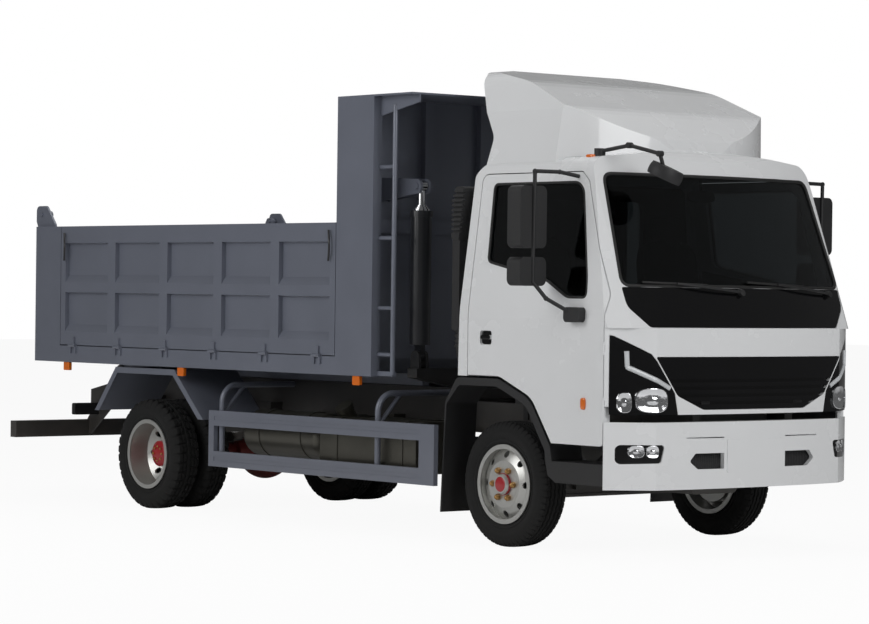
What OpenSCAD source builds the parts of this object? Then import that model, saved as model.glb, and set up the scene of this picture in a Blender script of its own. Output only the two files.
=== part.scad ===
/* [Chassis] */
// Distance between the front and rear axles
wheelbase = 3800; // [3400:10:4200]
// Front axle to the front face of the bumper
front_overhang = 1200; // [1150:10:1300]
// Rear axle to the back face of the underrun bar
rear_overhang = 1750; // [1700:10:1900]
// Height of the frame rails' top flange above the ground
rail_top = 860; // [840:5:880]
// Depth of a frame rail
rail_h = 200; // [160:5:220]
// Distance between the outer faces of the frame rails
frame_w = 860; // [820:10:900]
// Thickness of the rails' sheet
rail_t = 8; // [6:1:12]
// Width of a rail's flange
rail_flange = 65; // [60:1:80]
// Depth of the hoist subframe on top of the rails
subframe_h = 80; // [60:5:90]

/* [Wheels] */
// Outer radius of a tyre
tyre_r = 390; // [370:5:400]
// Width of a tyre
tyre_w = 215; // [200:5:225]
// Radius of the rim's seat under the tyre
rim_r = 232; // [222:2:240]
// Distance between the front tyres' centre planes
front_track = 1770; // [1740:10:1790]
// Distance between the centre planes of the twin rear wheels
rear_track = 1630; // [1620:10:1650]
// Distance between the two tyres of a rear wheel
twin_gap = 265; // [255:5:275]
// Distance between the two kingpins
kingpin_track = 1460; // [1430:10:1480]

/* [Cab] */
// Width over the door skins
cab_w = 2080; // [2040:10:2120]
// Thickness of the cab's walls and doors
cab_wall = 45; // [35:1:55]
// Gap round the doors
door_gap = 6; // [5:0.5:8]
// Slope of the windscreen from the vertical
screen_lean = 20.7; // [19:0.1:22]

/* [Bed] */
// Width of the bed over its drop sides
bed_w = 2240; // [2200:10:2280]
// Front axle to the front face of the headboard
bed_front = 1155; // [1140:5:1200]
// Length of the bed from headboard to rear posts
bed_l = 4025; // [3900:5:4100]
// Height of the bed's sill above the ground
sill_bottom = 1020; // [1015:1:1040]
// Depth of the sill
sill_h = 123; // [110:1:140]
// Height of a drop side
side_h = 872; // [800:4:900]
// Thickness of a drop side
side_t = 70; // [60:1:80]
// Height of the headboard's top above the ground
headboard_top = 2835; // [2750:5:2900]
// Number of pans along a drop side
pan_count = 5; // [4:1:6]

/* [Hoist] */
// Distance from the truck's middle plane to a hoist cylinder
hoist_y = 820; // [800:5:850]
// Outer radius of the hoist barrel
hoist_r = 68; // [62:1:72]
// Step in radius from one stage to the next
stage_step = 11; // [10:0.5:12]

/* [Hidden] */
$fn = 48;

// Colours of the finishes
cab_white = "#e9eaec";
bed_grey = "#4b5058";
black_plastic = "#17181a";
frame_black = "#1d1e20";
axle_red = "#9a1420";
steel = "#b9bcc0";
glass_dark = "#20262b";

// Clearance round pins and shafts, and between parts that move past each other
pin_gap = 0.3;
run_gap = 6;
// Angle between the points of a rounded corner
arc_step = 10;

// The part's origin lies under the middle of the overall length
overall_l = front_overhang + wheelbase + rear_overhang;
axle_x = overall_l / 2 - front_overhang;

// Moves shapes whose x is measured from the front axle into the part's frame
module from_axle() { translate([axle_x, 0, 0]) children(); }

// Repeats a left-hand shape on both sides
module both_sides() {
    children();
    mirror([0, 1, 0]) children();
}

function unit(v) = v / norm(v);

// Points of the arc of radius r that rounds the corner c between p and n
function fillet(p, c, n, r) = r <= 0 ? [c] :
    let (u = unit(p - c), v = unit(n - c), half = acos(u * v) / 2,
         o = c + unit(u + v) * r / sin(half),
         s = c + u * r / tan(half) - o, e = c + v * r / tan(half) - o,
         a = atan2(s[1], s[0]), d = atan2(e[1], e[0]) - a,
         turn = d > 180 ? d - 360 : d < -180 ? d + 360 : d,
         k = max(1, ceil(abs(turn) / arc_step)))
    [for (i = [0 : k]) o + r * [cos(a + turn * i / k), sin(a + turn * i / k)]];

// Outline of a path of corners [x, y, radius]
function rounded(path) = [for (i = [0 : len(path) - 1])
    let (k = len(path), p = path[(i + k - 1) % k], c = path[i], n = path[(i + 1) % k])
    each fillet([p[0], p[1]], [c[0], c[1]], [n[0], n[1]], c[2])];

// A counter-clockwise path of corners moved inwards by d
function inset(path, d) = [for (i = [0 : len(path) - 1])
    let (k = len(path), p = path[(i + k - 1) % k], c = path[i], n = path[(i + 1) % k],
         e = unit([c[0] - p[0], c[1] - p[1]]), f = unit([n[0] - c[0], n[1] - c[1]]),
         m = [-e[1], e[0]], q = [-f[1], f[0]], s = (m + q) * d / (1 + m * q),
         convex = e[0] * f[1] - e[1] * f[0] > 0)
    [c[0] + s[0], c[1] + s[1], c[2] <= 0 ? 0 : max(0, convex ? c[2] - d : c[2] + d)]];

// Rectangle as a path of corners with radius r
function box_path(x0, y0, x1, y1, r) = [[x0, y0, r], [x1, y0, r], [x1, y1, r], [x0, y1, r]];

// A side view in x and z, extruded from y0 to y1
module prism_y(points, y0, y1) {
    translate([0, y1, 0]) rotate([90, 0, 0]) linear_extrude(y1 - y0) polygon(points);
}

// A front view in y and z, extruded from x0 to x1
module prism_x(points, x0, x1) {
    translate([x0, 0, 0]) rotate([90, 0, 90]) linear_extrude(x1 - x0) polygon(points);
}

// Box between two opposite corners
module block(a, b) { translate(a) cube(b - a); }

// Cylinders along x, y and z between two coordinates
module rod_x(x0, x1, y, z, r) { translate([x0, y, z]) rotate([0, 90, 0]) cylinder(h = x1 - x0, r = r); }
module rod_y(x, y0, y1, z, r) { translate([x, y1, z]) rotate([90, 0, 0]) cylinder(h = y1 - y0, r = r); }
module rod_z(x, y, z0, z1, r) { translate([x, y, z0]) cylinder(h = z1 - z0, r = r); }

// Straight rod between two points
module strut(a, b, r) {
    d = b - a;
    translate(a) rotate([0, acos(d[2] / norm(d)), atan2(d[1], d[0])]) cylinder(h = norm(d), r = r);
}

// Frame and axle positions, x from the front axle
rail_y = frame_w / 2;
rail_bottom = rail_top - rail_h;
sub_top = rail_top + subframe_h;
rail_front = front_overhang - 110;
rail_rear = -wheelbase - rear_overhang + 80;
rail_step = -wheelbase - rear_overhang + 420;
rail_tail_top = rail_top - 70;
bed_rear = -bed_front - bed_l;
hinge_x = bed_rear + 100;
hinge_z = sub_top;
hinge_r = 42;
hinge_pin_r = 22;
bed_pivot_ear = 14;

// Bolt pattern of the rear towing coupling
coupling_dy = 140;
coupling_dz = 80;
coupling_hole_r = 8.5;
coupling_z = (rail_bottom + rail_tail_top) / 2;
tail_plate = 16;

// Crossmembers of the frame: distance behind the front axle
cross_x = [-620, -1500, -2500, -3250, -4350, -5000];
cross_w = 80;

module frame_rails() color(frame_black) from_axle() {
    side = [[rail_rear, rail_bottom, 0], [rail_front, rail_bottom, 0], [rail_front, rail_top, 0],
            [rail_step, rail_top, 0], [rail_rear, rail_tail_top, 0]];
    web_y = rail_y - rail_t;
    difference() {
        union() {
            both_sides() difference() {
                prism_y(rounded(side), rail_y - rail_flange, rail_y);
                intersection() {
                    prism_y(rounded(inset(side, rail_t)), rail_y - rail_flange - 1, web_y);
                    block([rail_rear + tail_plate, 0, 0], [rail_front - cross_w, rail_y, rail_top]);
                }
            }
            for (x = cross_x) difference() {
                block([x - cross_w / 2, -web_y, rail_bottom + 30], [x + cross_w / 2, web_y, rail_top - 30]);
                block([x - cross_w / 2 + rail_t, -web_y + 20, 0], [x + cross_w / 2 - rail_t, web_y - 20, rail_top - 45]);
            }
            block([rail_front - cross_w, -web_y, rail_bottom], [rail_front, web_y, rail_bottom + 90]);
            block([rail_rear, -web_y, rail_bottom], [rail_rear + tail_plate, web_y, rail_tail_top]);
        }
        for (y = [-1, 1], z = [-1, 1])
            rod_x(rail_rear - 5, rail_rear + tail_plate + 5, y * coupling_dy / 2,
                  coupling_z + z * coupling_dz / 2, coupling_hole_r);
    }
}

// Hoist brackets: base pin position and clevis cheeks
hoist_x = -bed_front + 127;
hoist_base_z = 1151;
hoist_top_z = 2252;
hoist_pin_r = 15;
lug_half = 20;
cheek_t = 18;
outrigger_w = 96;
outrigger_z = 1075;
sub_front = -bed_front + 25;

module subframe() color(frame_black) from_axle() both_sides() {
    inner_y = rail_y - rail_flange;
    block([hinge_x + 70, inner_y, rail_top], [sub_front, rail_y, sub_top]);
    for (x = [sub_front - 80, -2300, -3300, -4300])
        block([x, 0, rail_top + 10], [x + 60, inner_y, sub_top - 10]);
    // Clevis of the bed's rear pivot
    difference() {
        union() {
            block([hinge_x - 50, inner_y, rail_top], [hinge_x + 70, rail_y, rail_top + 20]);
            for (y = [inner_y, rail_y - bed_pivot_ear])
                prism_y(rounded([[hinge_x - 48, rail_top, 0], [hinge_x + 68, rail_top, 0],
                                 [hinge_x + 48, hinge_z + 46, 46], [hinge_x - 48, hinge_z + 46, 46]]),
                        y, y + bed_pivot_ear);
        }
        rod_y(hinge_x, 0, rail_y + 5, hinge_z, hinge_pin_r + pin_gap);
    }
    cab_pivot_ears();
    block([cab_side[0][0] + 50, inner_y, rail_top], [cab_side[0][0] + 110, rail_y, cab_side[0][1] - pin_gap]);
    // Outrigger and clevis of a hoist cylinder
    block([hoist_x - outrigger_w / 2, inner_y, rail_top], [hoist_x + outrigger_w / 2, rail_y, outrigger_z]);
    prism_x([[rail_y, outrigger_z - 150], [hoist_y + 60, outrigger_z - 60],
             [hoist_y + 60, outrigger_z], [rail_y, outrigger_z]],
            hoist_x - outrigger_w / 2, hoist_x + outrigger_w / 2);
    difference() {
        for (y = [hoist_y - lug_half - 2 - cheek_t, hoist_y + lug_half + 2])
            prism_y(rounded([[hoist_x - 45, outrigger_z, 0], [hoist_x + 45, outrigger_z, 0],
                             [hoist_x + 40, hoist_base_z + 38, 36], [hoist_x - 40, hoist_base_z + 38, 36]]),
                    y, y + cheek_t);
        rod_y(hoist_x, hoist_y - 60, hoist_y + 60, hoist_base_z, hoist_pin_r + pin_gap);
    }
}

// Engine and gearbox sizes
engine = [[240, -300, 470], [1000, 300, 850]];
gearbox_end = -420;
diff_r = 203;
diff_nose = -wheelbase + 290;
shaft_r = 45;

module driveline() color("#3a3d40") from_axle() {
    block(engine[0], engine[1]);
    prism_x(rounded(box_path(-200, 350, 200, 480, 40)), engine[0][0] + 100, engine[1][0] - 150);
    rod_x(gearbox_end + 250, engine[0][0], 0, 640, 190);
    rod_x(gearbox_end, gearbox_end + 250, 0, 640, 140);
    both_sides() for (x = [engine[0][0] + 80, engine[1][0] - 200])
        block([x, engine[1][1] - 10, rail_top - 30], [x + 90, rail_y - rail_flange - 2, rail_top + 14]);
    both_sides() for (x = [engine[0][0] + 80, engine[1][0] - 200])
        block([x, engine[1][1] - 10, rail_top], [x + 90, rail_y - 20, rail_top + 14]);
    strut([gearbox_end + 5, 0, 620], [diff_nose + 3.3, 0, 420], shaft_r);
    rod_x(gearbox_end - 40, gearbox_end, 0, 620, 75);
}

// Front axle beam, kingpin bosses and spring pads
kingpin_y = kingpin_track / 2;
kingpin_r = 18;
boss_r = 42;
boss_half = 42;
beam_half = 40;
pad_top = tyre_r - 6;
spring_w = 70;
front_spring_y = rail_y - rail_flange;

module front_axle() color(frame_black) from_axle() {
    zc = tyre_r;
    difference() {
        union() {
            prism_x(rounded([[-kingpin_y + 30, zc - 35, 0], [-600, zc - 40, 80], [-520, zc - 95, 80],
                             [520, zc - 95, 80], [600, zc - 40, 80], [kingpin_y - 30, zc - 35, 0],
                             [kingpin_y - 30, zc + 30, 0], [600, zc + 25, 80], [520, pad_top - 8, 60],
                             [-520, pad_top - 8, 60], [-600, zc + 25, 80], [-kingpin_y + 30, zc + 30, 0]]),
                    -beam_half, beam_half);
            both_sides() rod_z(0, kingpin_y, zc - boss_half, zc + boss_half, boss_r);
            both_sides() block([-70, front_spring_y - 4, pad_top - 40], [70, front_spring_y + spring_w + 4, pad_top]);
        }
        both_sides() rod_z(0, kingpin_y, zc - 100, zc + 100, kingpin_r + pin_gap);
        // The beam's web is waisted on both faces
        for (s = [-1, 1]) prism_x(rounded(box_path(-500, pad_top - 70, 500, pad_top - 42, 10)),
                                  s * beam_half - 18, s * beam_half + 18);
    }
}

// Rear axle: banjo housing, tubes, spring pads and spindles
axle_tube_r = 68;
rear_pad_top = tyre_r + 76;
rear_spring_y = rail_y + 6;
spindle_r = 50;
spindle_end = rear_track / 2 + 40;

module rear_axle() color(axle_red) from_axle() translate([-wheelbase, 0, 0]) {
    both_sides() rod_y(0, 0, 560, tyre_r, axle_tube_r);
    both_sides() rod_y(0, 550, spindle_end, tyre_r, spindle_r);
    both_sides() block([-75, rear_spring_y - 2, tyre_r], [75, rear_spring_y + spring_w + 12, rear_pad_top]);
    translate([0, 0, tyre_r]) sphere(r = diff_r);
    rod_x(0, wheelbase + diff_nose - 30, 0, tyre_r, 110);
    rod_x(0, wheelbase + diff_nose, 0, tyre_r + 15, 62);
    rod_x(-diff_r - 60, 0, 0, tyre_r, 120);
    both_sides() rod_y(0, 90, 300, tyre_r, 110);
}

leaf_t = 12;

// Points of one leaf: half length, rise at its ends, top height at its middle
function leaf_points(half, rise, top, t) = let (k = 10) concat(
    [for (i = [-k : k]) [half * i / k, top - t + rise * i * i / (k * k)]],
    [for (i = [k : -1 : -k]) [half * i / k, top + rise * i * i / (k * k)]]);

// Spring pack on a pad: the main leaf on top carries the eyes and the hangers above them
module spring(half, rise, pad, count, w, hang_to, hang_y0, hang_y1) {
    top = pad + count * leaf_t;
    for (i = [0 : count - 1])
        prism_y(leaf_points(half * (1 - 0.14 * i), rise * pow(1 - 0.14 * i, 2), top - i * leaf_t, leaf_t + 0.5 * (i < count - 1 ? 1 : 0)),
                0, w);
    block([-60, -6, top], [60, w + 6, top + 18]);
    for (s = [-1, 1]) {
        rod_y(s * half, 0, w, top + rise, 24);
        translate([s * half, 0, 0]) difference() {
            prism_y([[-32, top + rise - 26], [32, top + rise - 26], [60, hang_to], [-60, hang_to]], hang_y0, hang_y1);
            block([-40, -2, 0], [40, w + 2, top + rise + 32]);
        }
        rod_y(s * half, hang_y0, hang_y1, top + rise, 12);
    }
}

module leaf_springs() color(frame_black) from_axle() both_sides() {
    translate([0, front_spring_y, 0]) spring(650, 105, pad_top, 5, spring_w, rail_bottom, -14, spring_w + 14);
    translate([-wheelbase, rear_spring_y, 0])
        spring(720, 55, rear_pad_top, 6, spring_w + 10, rail_bottom + 120, rail_y - rear_spring_y, spring_w + 24);
}

// Tanks on the right-hand side of the frame
tank_back_y = -rail_y - 90;

module fuel_tank() color("#55574f") from_axle() {
    x0 = -1838;
    x1 = -835;
    section = box_path(-1000, 400, tank_back_y, 735, 70);
    prism_x(rounded(section), x0, x1);
    for (x = [x0 + 130, x1 - 190]) difference() {
        prism_x(rounded(inset(section, -5)), x, x + 60);
        prism_x(rounded(inset(section, 5)), x - 1, x + 61);
    }
    for (x = [x0 + 130, x1 - 190]) block([x, tank_back_y - 5, 480], [x + 60, -rail_y, rail_bottom + 90]);
    translate([x0 + 115, -820, 700]) rotate([35, 0, 0]) cylinder(h = 110, r = 52);
    translate([x0 + 115, -820, 700]) rotate([35, 0, 0]) translate([0, 0, 100]) cylinder(h = 34, r = 62);
}

module air_tank() color("#4d4f4a") from_axle() {
    x0 = -2739;
    x1 = -1875;
    r = 160;
    y = -840;
    z = 590;
    translate([x0, y, z]) rotate([0, 90, 0]) rotate_extrude()
        polygon(concat([[0, 0]], [for (a = [0 : 15 : 90]) [r - 60 + 60 * sin(a), 60 - 60 * cos(a)]],
                       [for (a = [90 : -15 : 0]) [r - 60 + 60 * sin(a), x1 - x0 - 60 + 60 * cos(a)]],
                       [[0, x1 - x0]]));
    for (x = [x0 + 170, x1 - 230]) {
        difference() {
            rod_x(x, x + 50, y, z, r + 5);
            rod_x(x - 1, x + 51, y, z, r - 5);
        }
        block([x, y, z + 100], [x + 50, -rail_y, z + 140]);
        block([x, -rail_y - 60, z - 100], [x + 50, -rail_y, z + 140]);
        block([x, y, z - 140], [x + 50, -rail_y, z - 100]);
    }
}

// Side guards: two channel rails, end plates and bent hoops that hang them on the subframe
guard_x = [-2976, -540];
guard_y = [1060, 1095];
guard_rails = [[350, 455], [630, 735]];
hoop_x = [-2890, -1170];
hoop_r = 20;
hoop_bend = 120;
hoop_top = sub_top - 30;

module side_guards() color(bed_grey) from_axle() both_sides() {
    for (z = guard_rails) difference() {
        block([guard_x[0], guard_y[0], z[0]], [guard_x[1], guard_y[1], z[1]]);
        block([guard_x[0] + 70, guard_y[0] - 1, z[0] + 10], [guard_x[1] - 170, guard_y[1] - 8, z[1] - 10]);
        block([guard_x[0] + 62, guard_y[1] - 4, z[0] + 38], [guard_x[1] - 160, guard_y[1] + 1, z[1] - 38]);
    }
    block([guard_x[0], guard_y[0], guard_rails[0][0]], [guard_x[0] + 60, guard_y[1], guard_rails[1][1]]);
    block([guard_x[1] - 150, guard_y[0], guard_rails[0][0]], [guard_x[1], guard_y[1], guard_rails[1][1]]);
    for (x = hoop_x) {
        y = guard_y[0] - hoop_r + 4;
        rod_z(x, y, guard_rails[0][0] + 20, hoop_top - hoop_bend, hoop_r);
        translate([x, y - hoop_bend, hoop_top - hoop_bend]) rotate([90, 0, 90])
            rotate_extrude(angle = 90) translate([hoop_bend, 0]) circle(r = hoop_r);
        rod_y(x, rail_y, y - hoop_bend, hoop_top, hoop_r);
        strut([x, y, 700], [x, y - 190, hoop_top], hoop_r - 6);
        for (z = guard_rails)
            block([x - 15, y, z[0] + 12], [x + 15, guard_y[1] - 4, z[1] - 12]);
    }
}

// Rear mudguards: folded sheet over each twin wheel, with a turned-down rim outside
guard_sheet = 4;
guard_rim = 42;
mud_path = [[-wheelbase - 601, 681, 0], [-wheelbase + 754, 664, 0],
            [-wheelbase + 396, sill_bottom - 18, 0], [-wheelbase - 335, sill_bottom - 18, 0]];

// Opening left under the sheet when its outline is moved in by t
function mud_opening(t) = let (q = inset(mud_path, t))
    [[q[0][0], q[0][1]] + 200 * unit([q[0][0] - q[3][0], q[0][1] - q[3][1]]),
     [q[1][0], q[1][1]] + 200 * unit([q[1][0] - q[2][0], q[1][1] - q[2][1]]),
     [q[2][0], q[2][1]], [q[3][0], q[3][1]]];

module rear_mudguards() color(bed_grey) from_axle() both_sides() {
    inner_y = 560;
    outer_y = guard_y[1];
    top = mud_path[2][1];
    difference() {
        prism_y(rounded(mud_path), inner_y, outer_y);
        prism_y(mud_opening(guard_sheet), inner_y - 1, outer_y - guard_sheet);
        prism_y(mud_opening(guard_rim), inner_y - 1, outer_y + 1);
    }
    for (dx = [-250, 250]) {
        block([-wheelbase + dx, rail_y, sub_top - 45], [-wheelbase + dx + 50, inner_y + 40, sub_top - 15]);
        block([-wheelbase + dx, inner_y + 10, sub_top - 45], [-wheelbase + dx + 50, inner_y + 40, top - 2]);
    }
}

// Front mudguards: arch band under the door, step in front of it and flap behind it
step_x = [505, 958];
step_z = [431, 560];

module front_mudguards() color(black_plastic) from_axle() both_sides() {
    y0 = 785;
    y1 = cab_w / 2 - 2;
    prism_y(rounded([[-540, 187, 0], [-526, 187, 0], [-490, 870, 40], [-372, 992, 60], [-10, 992, 120],
                     [262, 885, 150], [440, 620, 0], [446, step_z[1], 0], [step_x[0], step_z[1], 0],
                     [488, 648, 0], [300, 922, 200], [6, 1040, 160], [-392, 1040, 60], [-504, 880, 40]]),
            y0, y1);
    // The step is a moulding of its own under the arch's front end
    prism_y(rounded([[470, step_z[0] + 40, 0], [540, step_z[0], 0], [step_x[1], step_z[0], 20],
                     [step_x[1], step_z[1] - pin_gap, 0], [446, step_z[1] - pin_gap, 0]]), y0, y1);
    // Bracket on the frame rail, and stay at the back
    prism_x([[rail_y, rail_bottom + 20], [y0 + 10, step_z[0] + 40], [y0 + 10, step_z[1] - 10], [rail_y, rail_top - 60]],
            620, 660);
    block([-438, rail_y, rail_top - 100], [-392, rail_y + 10, 1000]);
    rod_y(-415, rail_y + 2, y0 + 10, 978, 16);
}

module underrun_bar() color(frame_black) from_axle() {
    x0 = -wheelbase - rear_overhang;
    block([x0, -1095, 434], [x0 + 80, 1095, 557]);
    both_sides() prism_y(rounded([[x0 + 40, 450, 0], [x0 + 100, 450, 0], [rail_rear + 330, rail_bottom + 20, 0],
                                  [rail_rear + 330, rail_tail_top - 20, 0], [rail_rear + 160, rail_tail_top - 20, 0],
                                  [x0 + 40, 545, 0]]), rail_y, rail_y + 14);
}

// Tail lamps on the outer faces of the bar's arms
module tail_lamps() color("#8e1014") from_axle() both_sides()
    prism_x(rounded(box_path(rail_y + 14, 602, rail_y + 230, 690, 12)), rail_rear + 90, rail_rear + 135);

// Plan curves of the cab's front: radius of the face, and radius and centre of the corners
face_r = 6170;
corner_r = 1574;
corner_back = 1414;

// Plan form of the front, moved in by d
module front_plan(nose, d) {
    intersection() {
        translate([nose - face_r, 0]) circle(r = face_r - d, $fn = 720);
        translate([nose - corner_back, 0]) circle(r = corner_r - d, $fn = 360);
    }
}

fog_path = [[748, 572, 20], [990, 565, 30], [990, 680, 30], [720, 680, 20]];
bumper_z = [411, 813];
bumper_wall = 30;

module bumper() color(cab_white) from_axle() {
    difference() {
        intersection() {
            translate([0, 0, bumper_z[0]]) linear_extrude(bumper_z[1] - bumper_z[0]) front_plan(front_overhang, 0);
            block([965, -1050, 0], [front_overhang + 10, 1050, 1000]);
        }
        translate([0, 0, bumper_z[0] - 1]) linear_extrude(bumper_z[1] - bumper_z[0] - bumper_wall)
            intersection() {
                front_plan(front_overhang, bumper_wall);
                translate([0, -1050 + bumper_wall]) square([front_overhang, 2100 - 2 * bumper_wall]);
            }
        // Its top lip is open behind, where the rails' front ends stand
        translate([0, 0, bumper_z[0]]) linear_extrude(bumper_z[1]) intersection() {
            front_plan(front_overhang, bumper_wall);
            translate([0, -1000]) square([1110, 2000]);
        }
        // Lower edge chamfered, mouths of the grilles and of the fog lamps
        both_sides() prism_x(rounded([[262, 530, 0], [470, 530, 20], [535, 577, 15], [490, 625, 15], [262, 625, 0]]),
                             900, 1300);
        both_sides() prism_x(rounded(fog_path), 900, 1300);
        both_sides() block([front_overhang - 40, 262, 715], [front_overhang + 10, 560, 722]);
    }
    both_sides() block([rail_front, rail_y - rail_flange, 690], [front_overhang - bumper_wall - 6, rail_y, bumper_z[1] - 10]);
    both_sides() block([rail_front, rail_y - rail_flange - 200, 660], [rail_front + 25, rail_y, 800]);
    // Number plate panel
    prism_x(rounded(box_path(-240, 505, 240, 705, 12)), front_overhang - 20, front_overhang);
}

// Air intake behind the cab: louvred head, duct and bellows
intake_y = [-990, -840];

module air_intake() color(black_plastic) from_axle() {
    difference() {
        prism_y(rounded([[-520, 1900, 20], [-450, 1900, 0], [-404, 2235, 30], [-480, 2235, 30], [-520, 2150, 30]]),
                intake_y[0], intake_y[1]);
        for (z = [1945 : 30 : 2190])
            block([-600, intake_y[0] - 5, z], [-300, intake_y[0] + 16, z + 14]);
    }
    prism_y(rounded(box_path(-520, 1330, -450, 1910, 20)), intake_y[0] + 10, intake_y[1] - 10);
    yc = (intake_y[0] + intake_y[1]) / 2;
    for (z = [1222 : 32 : 1330]) rod_z(-485, yc, z, z + 20, 52);
    rod_z(-485, yc, 1210, 1340, 42);
    translate([-485, yc + 110, 1210]) rotate([90, 0, 90]) rotate([0, 0, 180])
        rotate_extrude(angle = 90) translate([110, 0]) circle(r = 42);
    rod_y(-485, yc + 110, -rail_y + rail_flange, 1100, 42);
    block([-530, -rail_y, rail_top], [-440, -rail_y + rail_flange, 1090]);
}

// Track rod between the two steering arms
arm_x = -170;
arm_y = kingpin_y - 50;
rod_drop = 88.5;

module tie_rod() color(frame_black) from_axle() {
    z = tyre_r - rod_drop;
    rod_y(arm_x, -arm_y + 24, arm_y - 24, z, 16);
    both_sides() rod_z(arm_x, arm_y, z - 18, z + 18, 26);
}

// Cab form: side view, cross-section and the plan curves of face and windscreen
cab_half = cab_w / 2;
cab_nose = front_overhang - 2;
hood_z = 1371;
cab_bottom = 858;
screen_nose = front_overhang - 10;
screen_r = 4300;
pillar_r = 1557;
pillar_c = 1349;
panel_gap = 3;
panel_seat = cab_wall - 12;
function screen_x(z) = screen_nose - (z - hood_z) * tan(screen_lean);

cab_side = [[-379, 1051, 0], [10, 1051, 160], [310, 930, 200], [497, 661, 0], [960, 661, 0],
            [960, cab_bottom, 0], [cab_nose + 70, cab_bottom, 0], [cab_nose + 70, hood_z, 0],
            [screen_x(2311) + 70, 2311, 0], [690, 2478, 250], [-270, 2396, 60], [-362, 2300, 60],
            [-372, 1405, 300]];
cab_cross = [[-cab_half, 500, 0], [cab_half, 500, 0], [cab_half, 1450, 500], [cab_half - 125, 2395, 110],
             [0, 2482, 4000], [-cab_half + 125, 2395, 110], [-cab_half, 1450, 500]];

// Cross-section and front of the cab, moved in by d, open at the back and below
module cab_tube(d) {
    intersection() {
        prism_x(rounded(inset(cab_cross, d)), -600, 1400);
        union() {
            translate([0, 0, 400]) linear_extrude(hood_z - 400) front_plan(cab_nose, d);
            intersection() {
                translate([screen_nose, 0, hood_z]) rotate([0, -screen_lean, 0]) translate([0, 0, -700])
                    linear_extrude(2400) intersection() {
                        translate([-screen_r, 0]) circle(r = screen_r - d, $fn = 720);
                        translate([-pillar_c, 0]) circle(r = pillar_r - d, $fn = 360);
                    }
                block([-700, -1200, hood_z], [1400, 1200, 2600]);
            }
        }
    }
}

// Whole outside of the cab, moved in by d
module cab_form(d) {
    intersection() {
        prism_y(rounded(inset(cab_side, d)), -cab_half - 50, cab_half + 50);
        cab_tube(d);
    }
}

// Outlines of the openings: doors and windows in side view, front panels in front view
door_front = 955;
pillar_in = 162;
door_path = [[-285, 1058, 0], [12, 1058, 155], [314, 937, 195], [501, 668, 0], [door_front, 668, 25],
             [door_front, hood_z + (screen_nose - pillar_in - door_front) / tan(screen_lean), 150],
             [screen_x(2250) - pillar_in, 2250, 60], [screen_x(2305) - pillar_in - 45, 2305, 40],
             [-285, 2305, 50]];
window_path = [[-152, 1762, 50], [400, 1655, 400], [610, 1548, 120], [782, 1548, 50], [774, 1660, 150],
               [screen_x(2198) - pillar_in - 55, 2198, 60], [screen_x(2244) - pillar_in - 95, 2244, 40],
               [-170, 2244, 40]];
screen_path = [[-928, 1622, 50], [928, 1622, 50], [868, 2296, 60], [-868, 2296, 60]];
cowl_path = [[-800, 1378, 40], [800, 1378, 40], [925, 1500, 80], [930, 1612, 10], [-930, 1612, 10], [-925, 1500, 80]];
grille_path = [[-430, 888, 80], [430, 888, 80], [628, 972, 60], [788, 1200, 5], [-788, 1200, 5], [-628, 972, 60]];
lamp_path = [[628, cab_bottom, 0], [1080, cab_bottom, 0], [1080, 1345, 0], [1000, 1322, 0], [815, 1216, 10], [653, 985, 20]];
rear_window_path = box_path(-480, 1620, 480, 2180, 60);
lamp_x = 984;

// Opening for a door: its outline with the gap, run out through the cab's lower edge
door_cut = [for (p = inset(door_path, -door_gap)) [p[0], p[1] < 1100 ? p[1] - 30 : p[1], p[2]]];
// Door hinges: axis, heights of the door's knuckles, and knuckle and pin sizes
door_hinge = [door_front + 2, cab_half];
door_hinge_z = [920, 1250];
knuckle_half = 20;
knuckle_r = 7;
door_pin_r = 3;

// Room for a front panel in the cab's wall: everything in front of its seat
module panel_pocket(path, x0) {
    difference() {
        prism_x(rounded(inset(path, -panel_gap)), x0, 1400);
        cab_tube(panel_seat);
    }
}

// Front panel that fills its pocket
module front_panel(path, x0, proud) {
    difference() {
        intersection() {
            cab_tube(proud);
            prism_x(rounded(path), x0, 1400);
        }
        cab_tube(panel_seat - pin_gap);
    }
}

// Cab pivot at the front ends of the rails
pivot_x = front_overhang - 66;
pivot_z = 900;
pivot_pin_r = 12;
pivot_lug = [rail_y - 46, rail_y - 19];
pivot_ear_y = [[rail_y - 64, rail_y - 52], [rail_y - 13, rail_y - 1]];
floor_front = 945;
floor_rear = 1095;
floor_step = 330;
floor_t = 40;

module cab_pivot_ears() {
    for (y = pivot_ear_y)
        prism_y(rounded([[pivot_x - 124, rail_top, 0], [pivot_x - 54, rail_top, 0], [pivot_x - 14, pivot_z - 24, 0],
                         [pivot_x + 26, pivot_z - 22, 20], [pivot_x + 26, pivot_z + 26, 24],
                         [pivot_x - 34, pivot_z + 26, 24]]), y[0], y[1]);
    rod_y(pivot_x, pivot_ear_y[0][0], pivot_ear_y[1][1], pivot_z, pivot_pin_r);
}

// Room for the ears when the cab swings on them
module pivot_room(more = 0) {
    both_sides() block([pivot_x - 134, pivot_ear_y[0][0] - 6, 400],
                       [pivot_x + 32, pivot_ear_y[1][1] + 6, pivot_z + 36 + more]);
}

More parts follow.
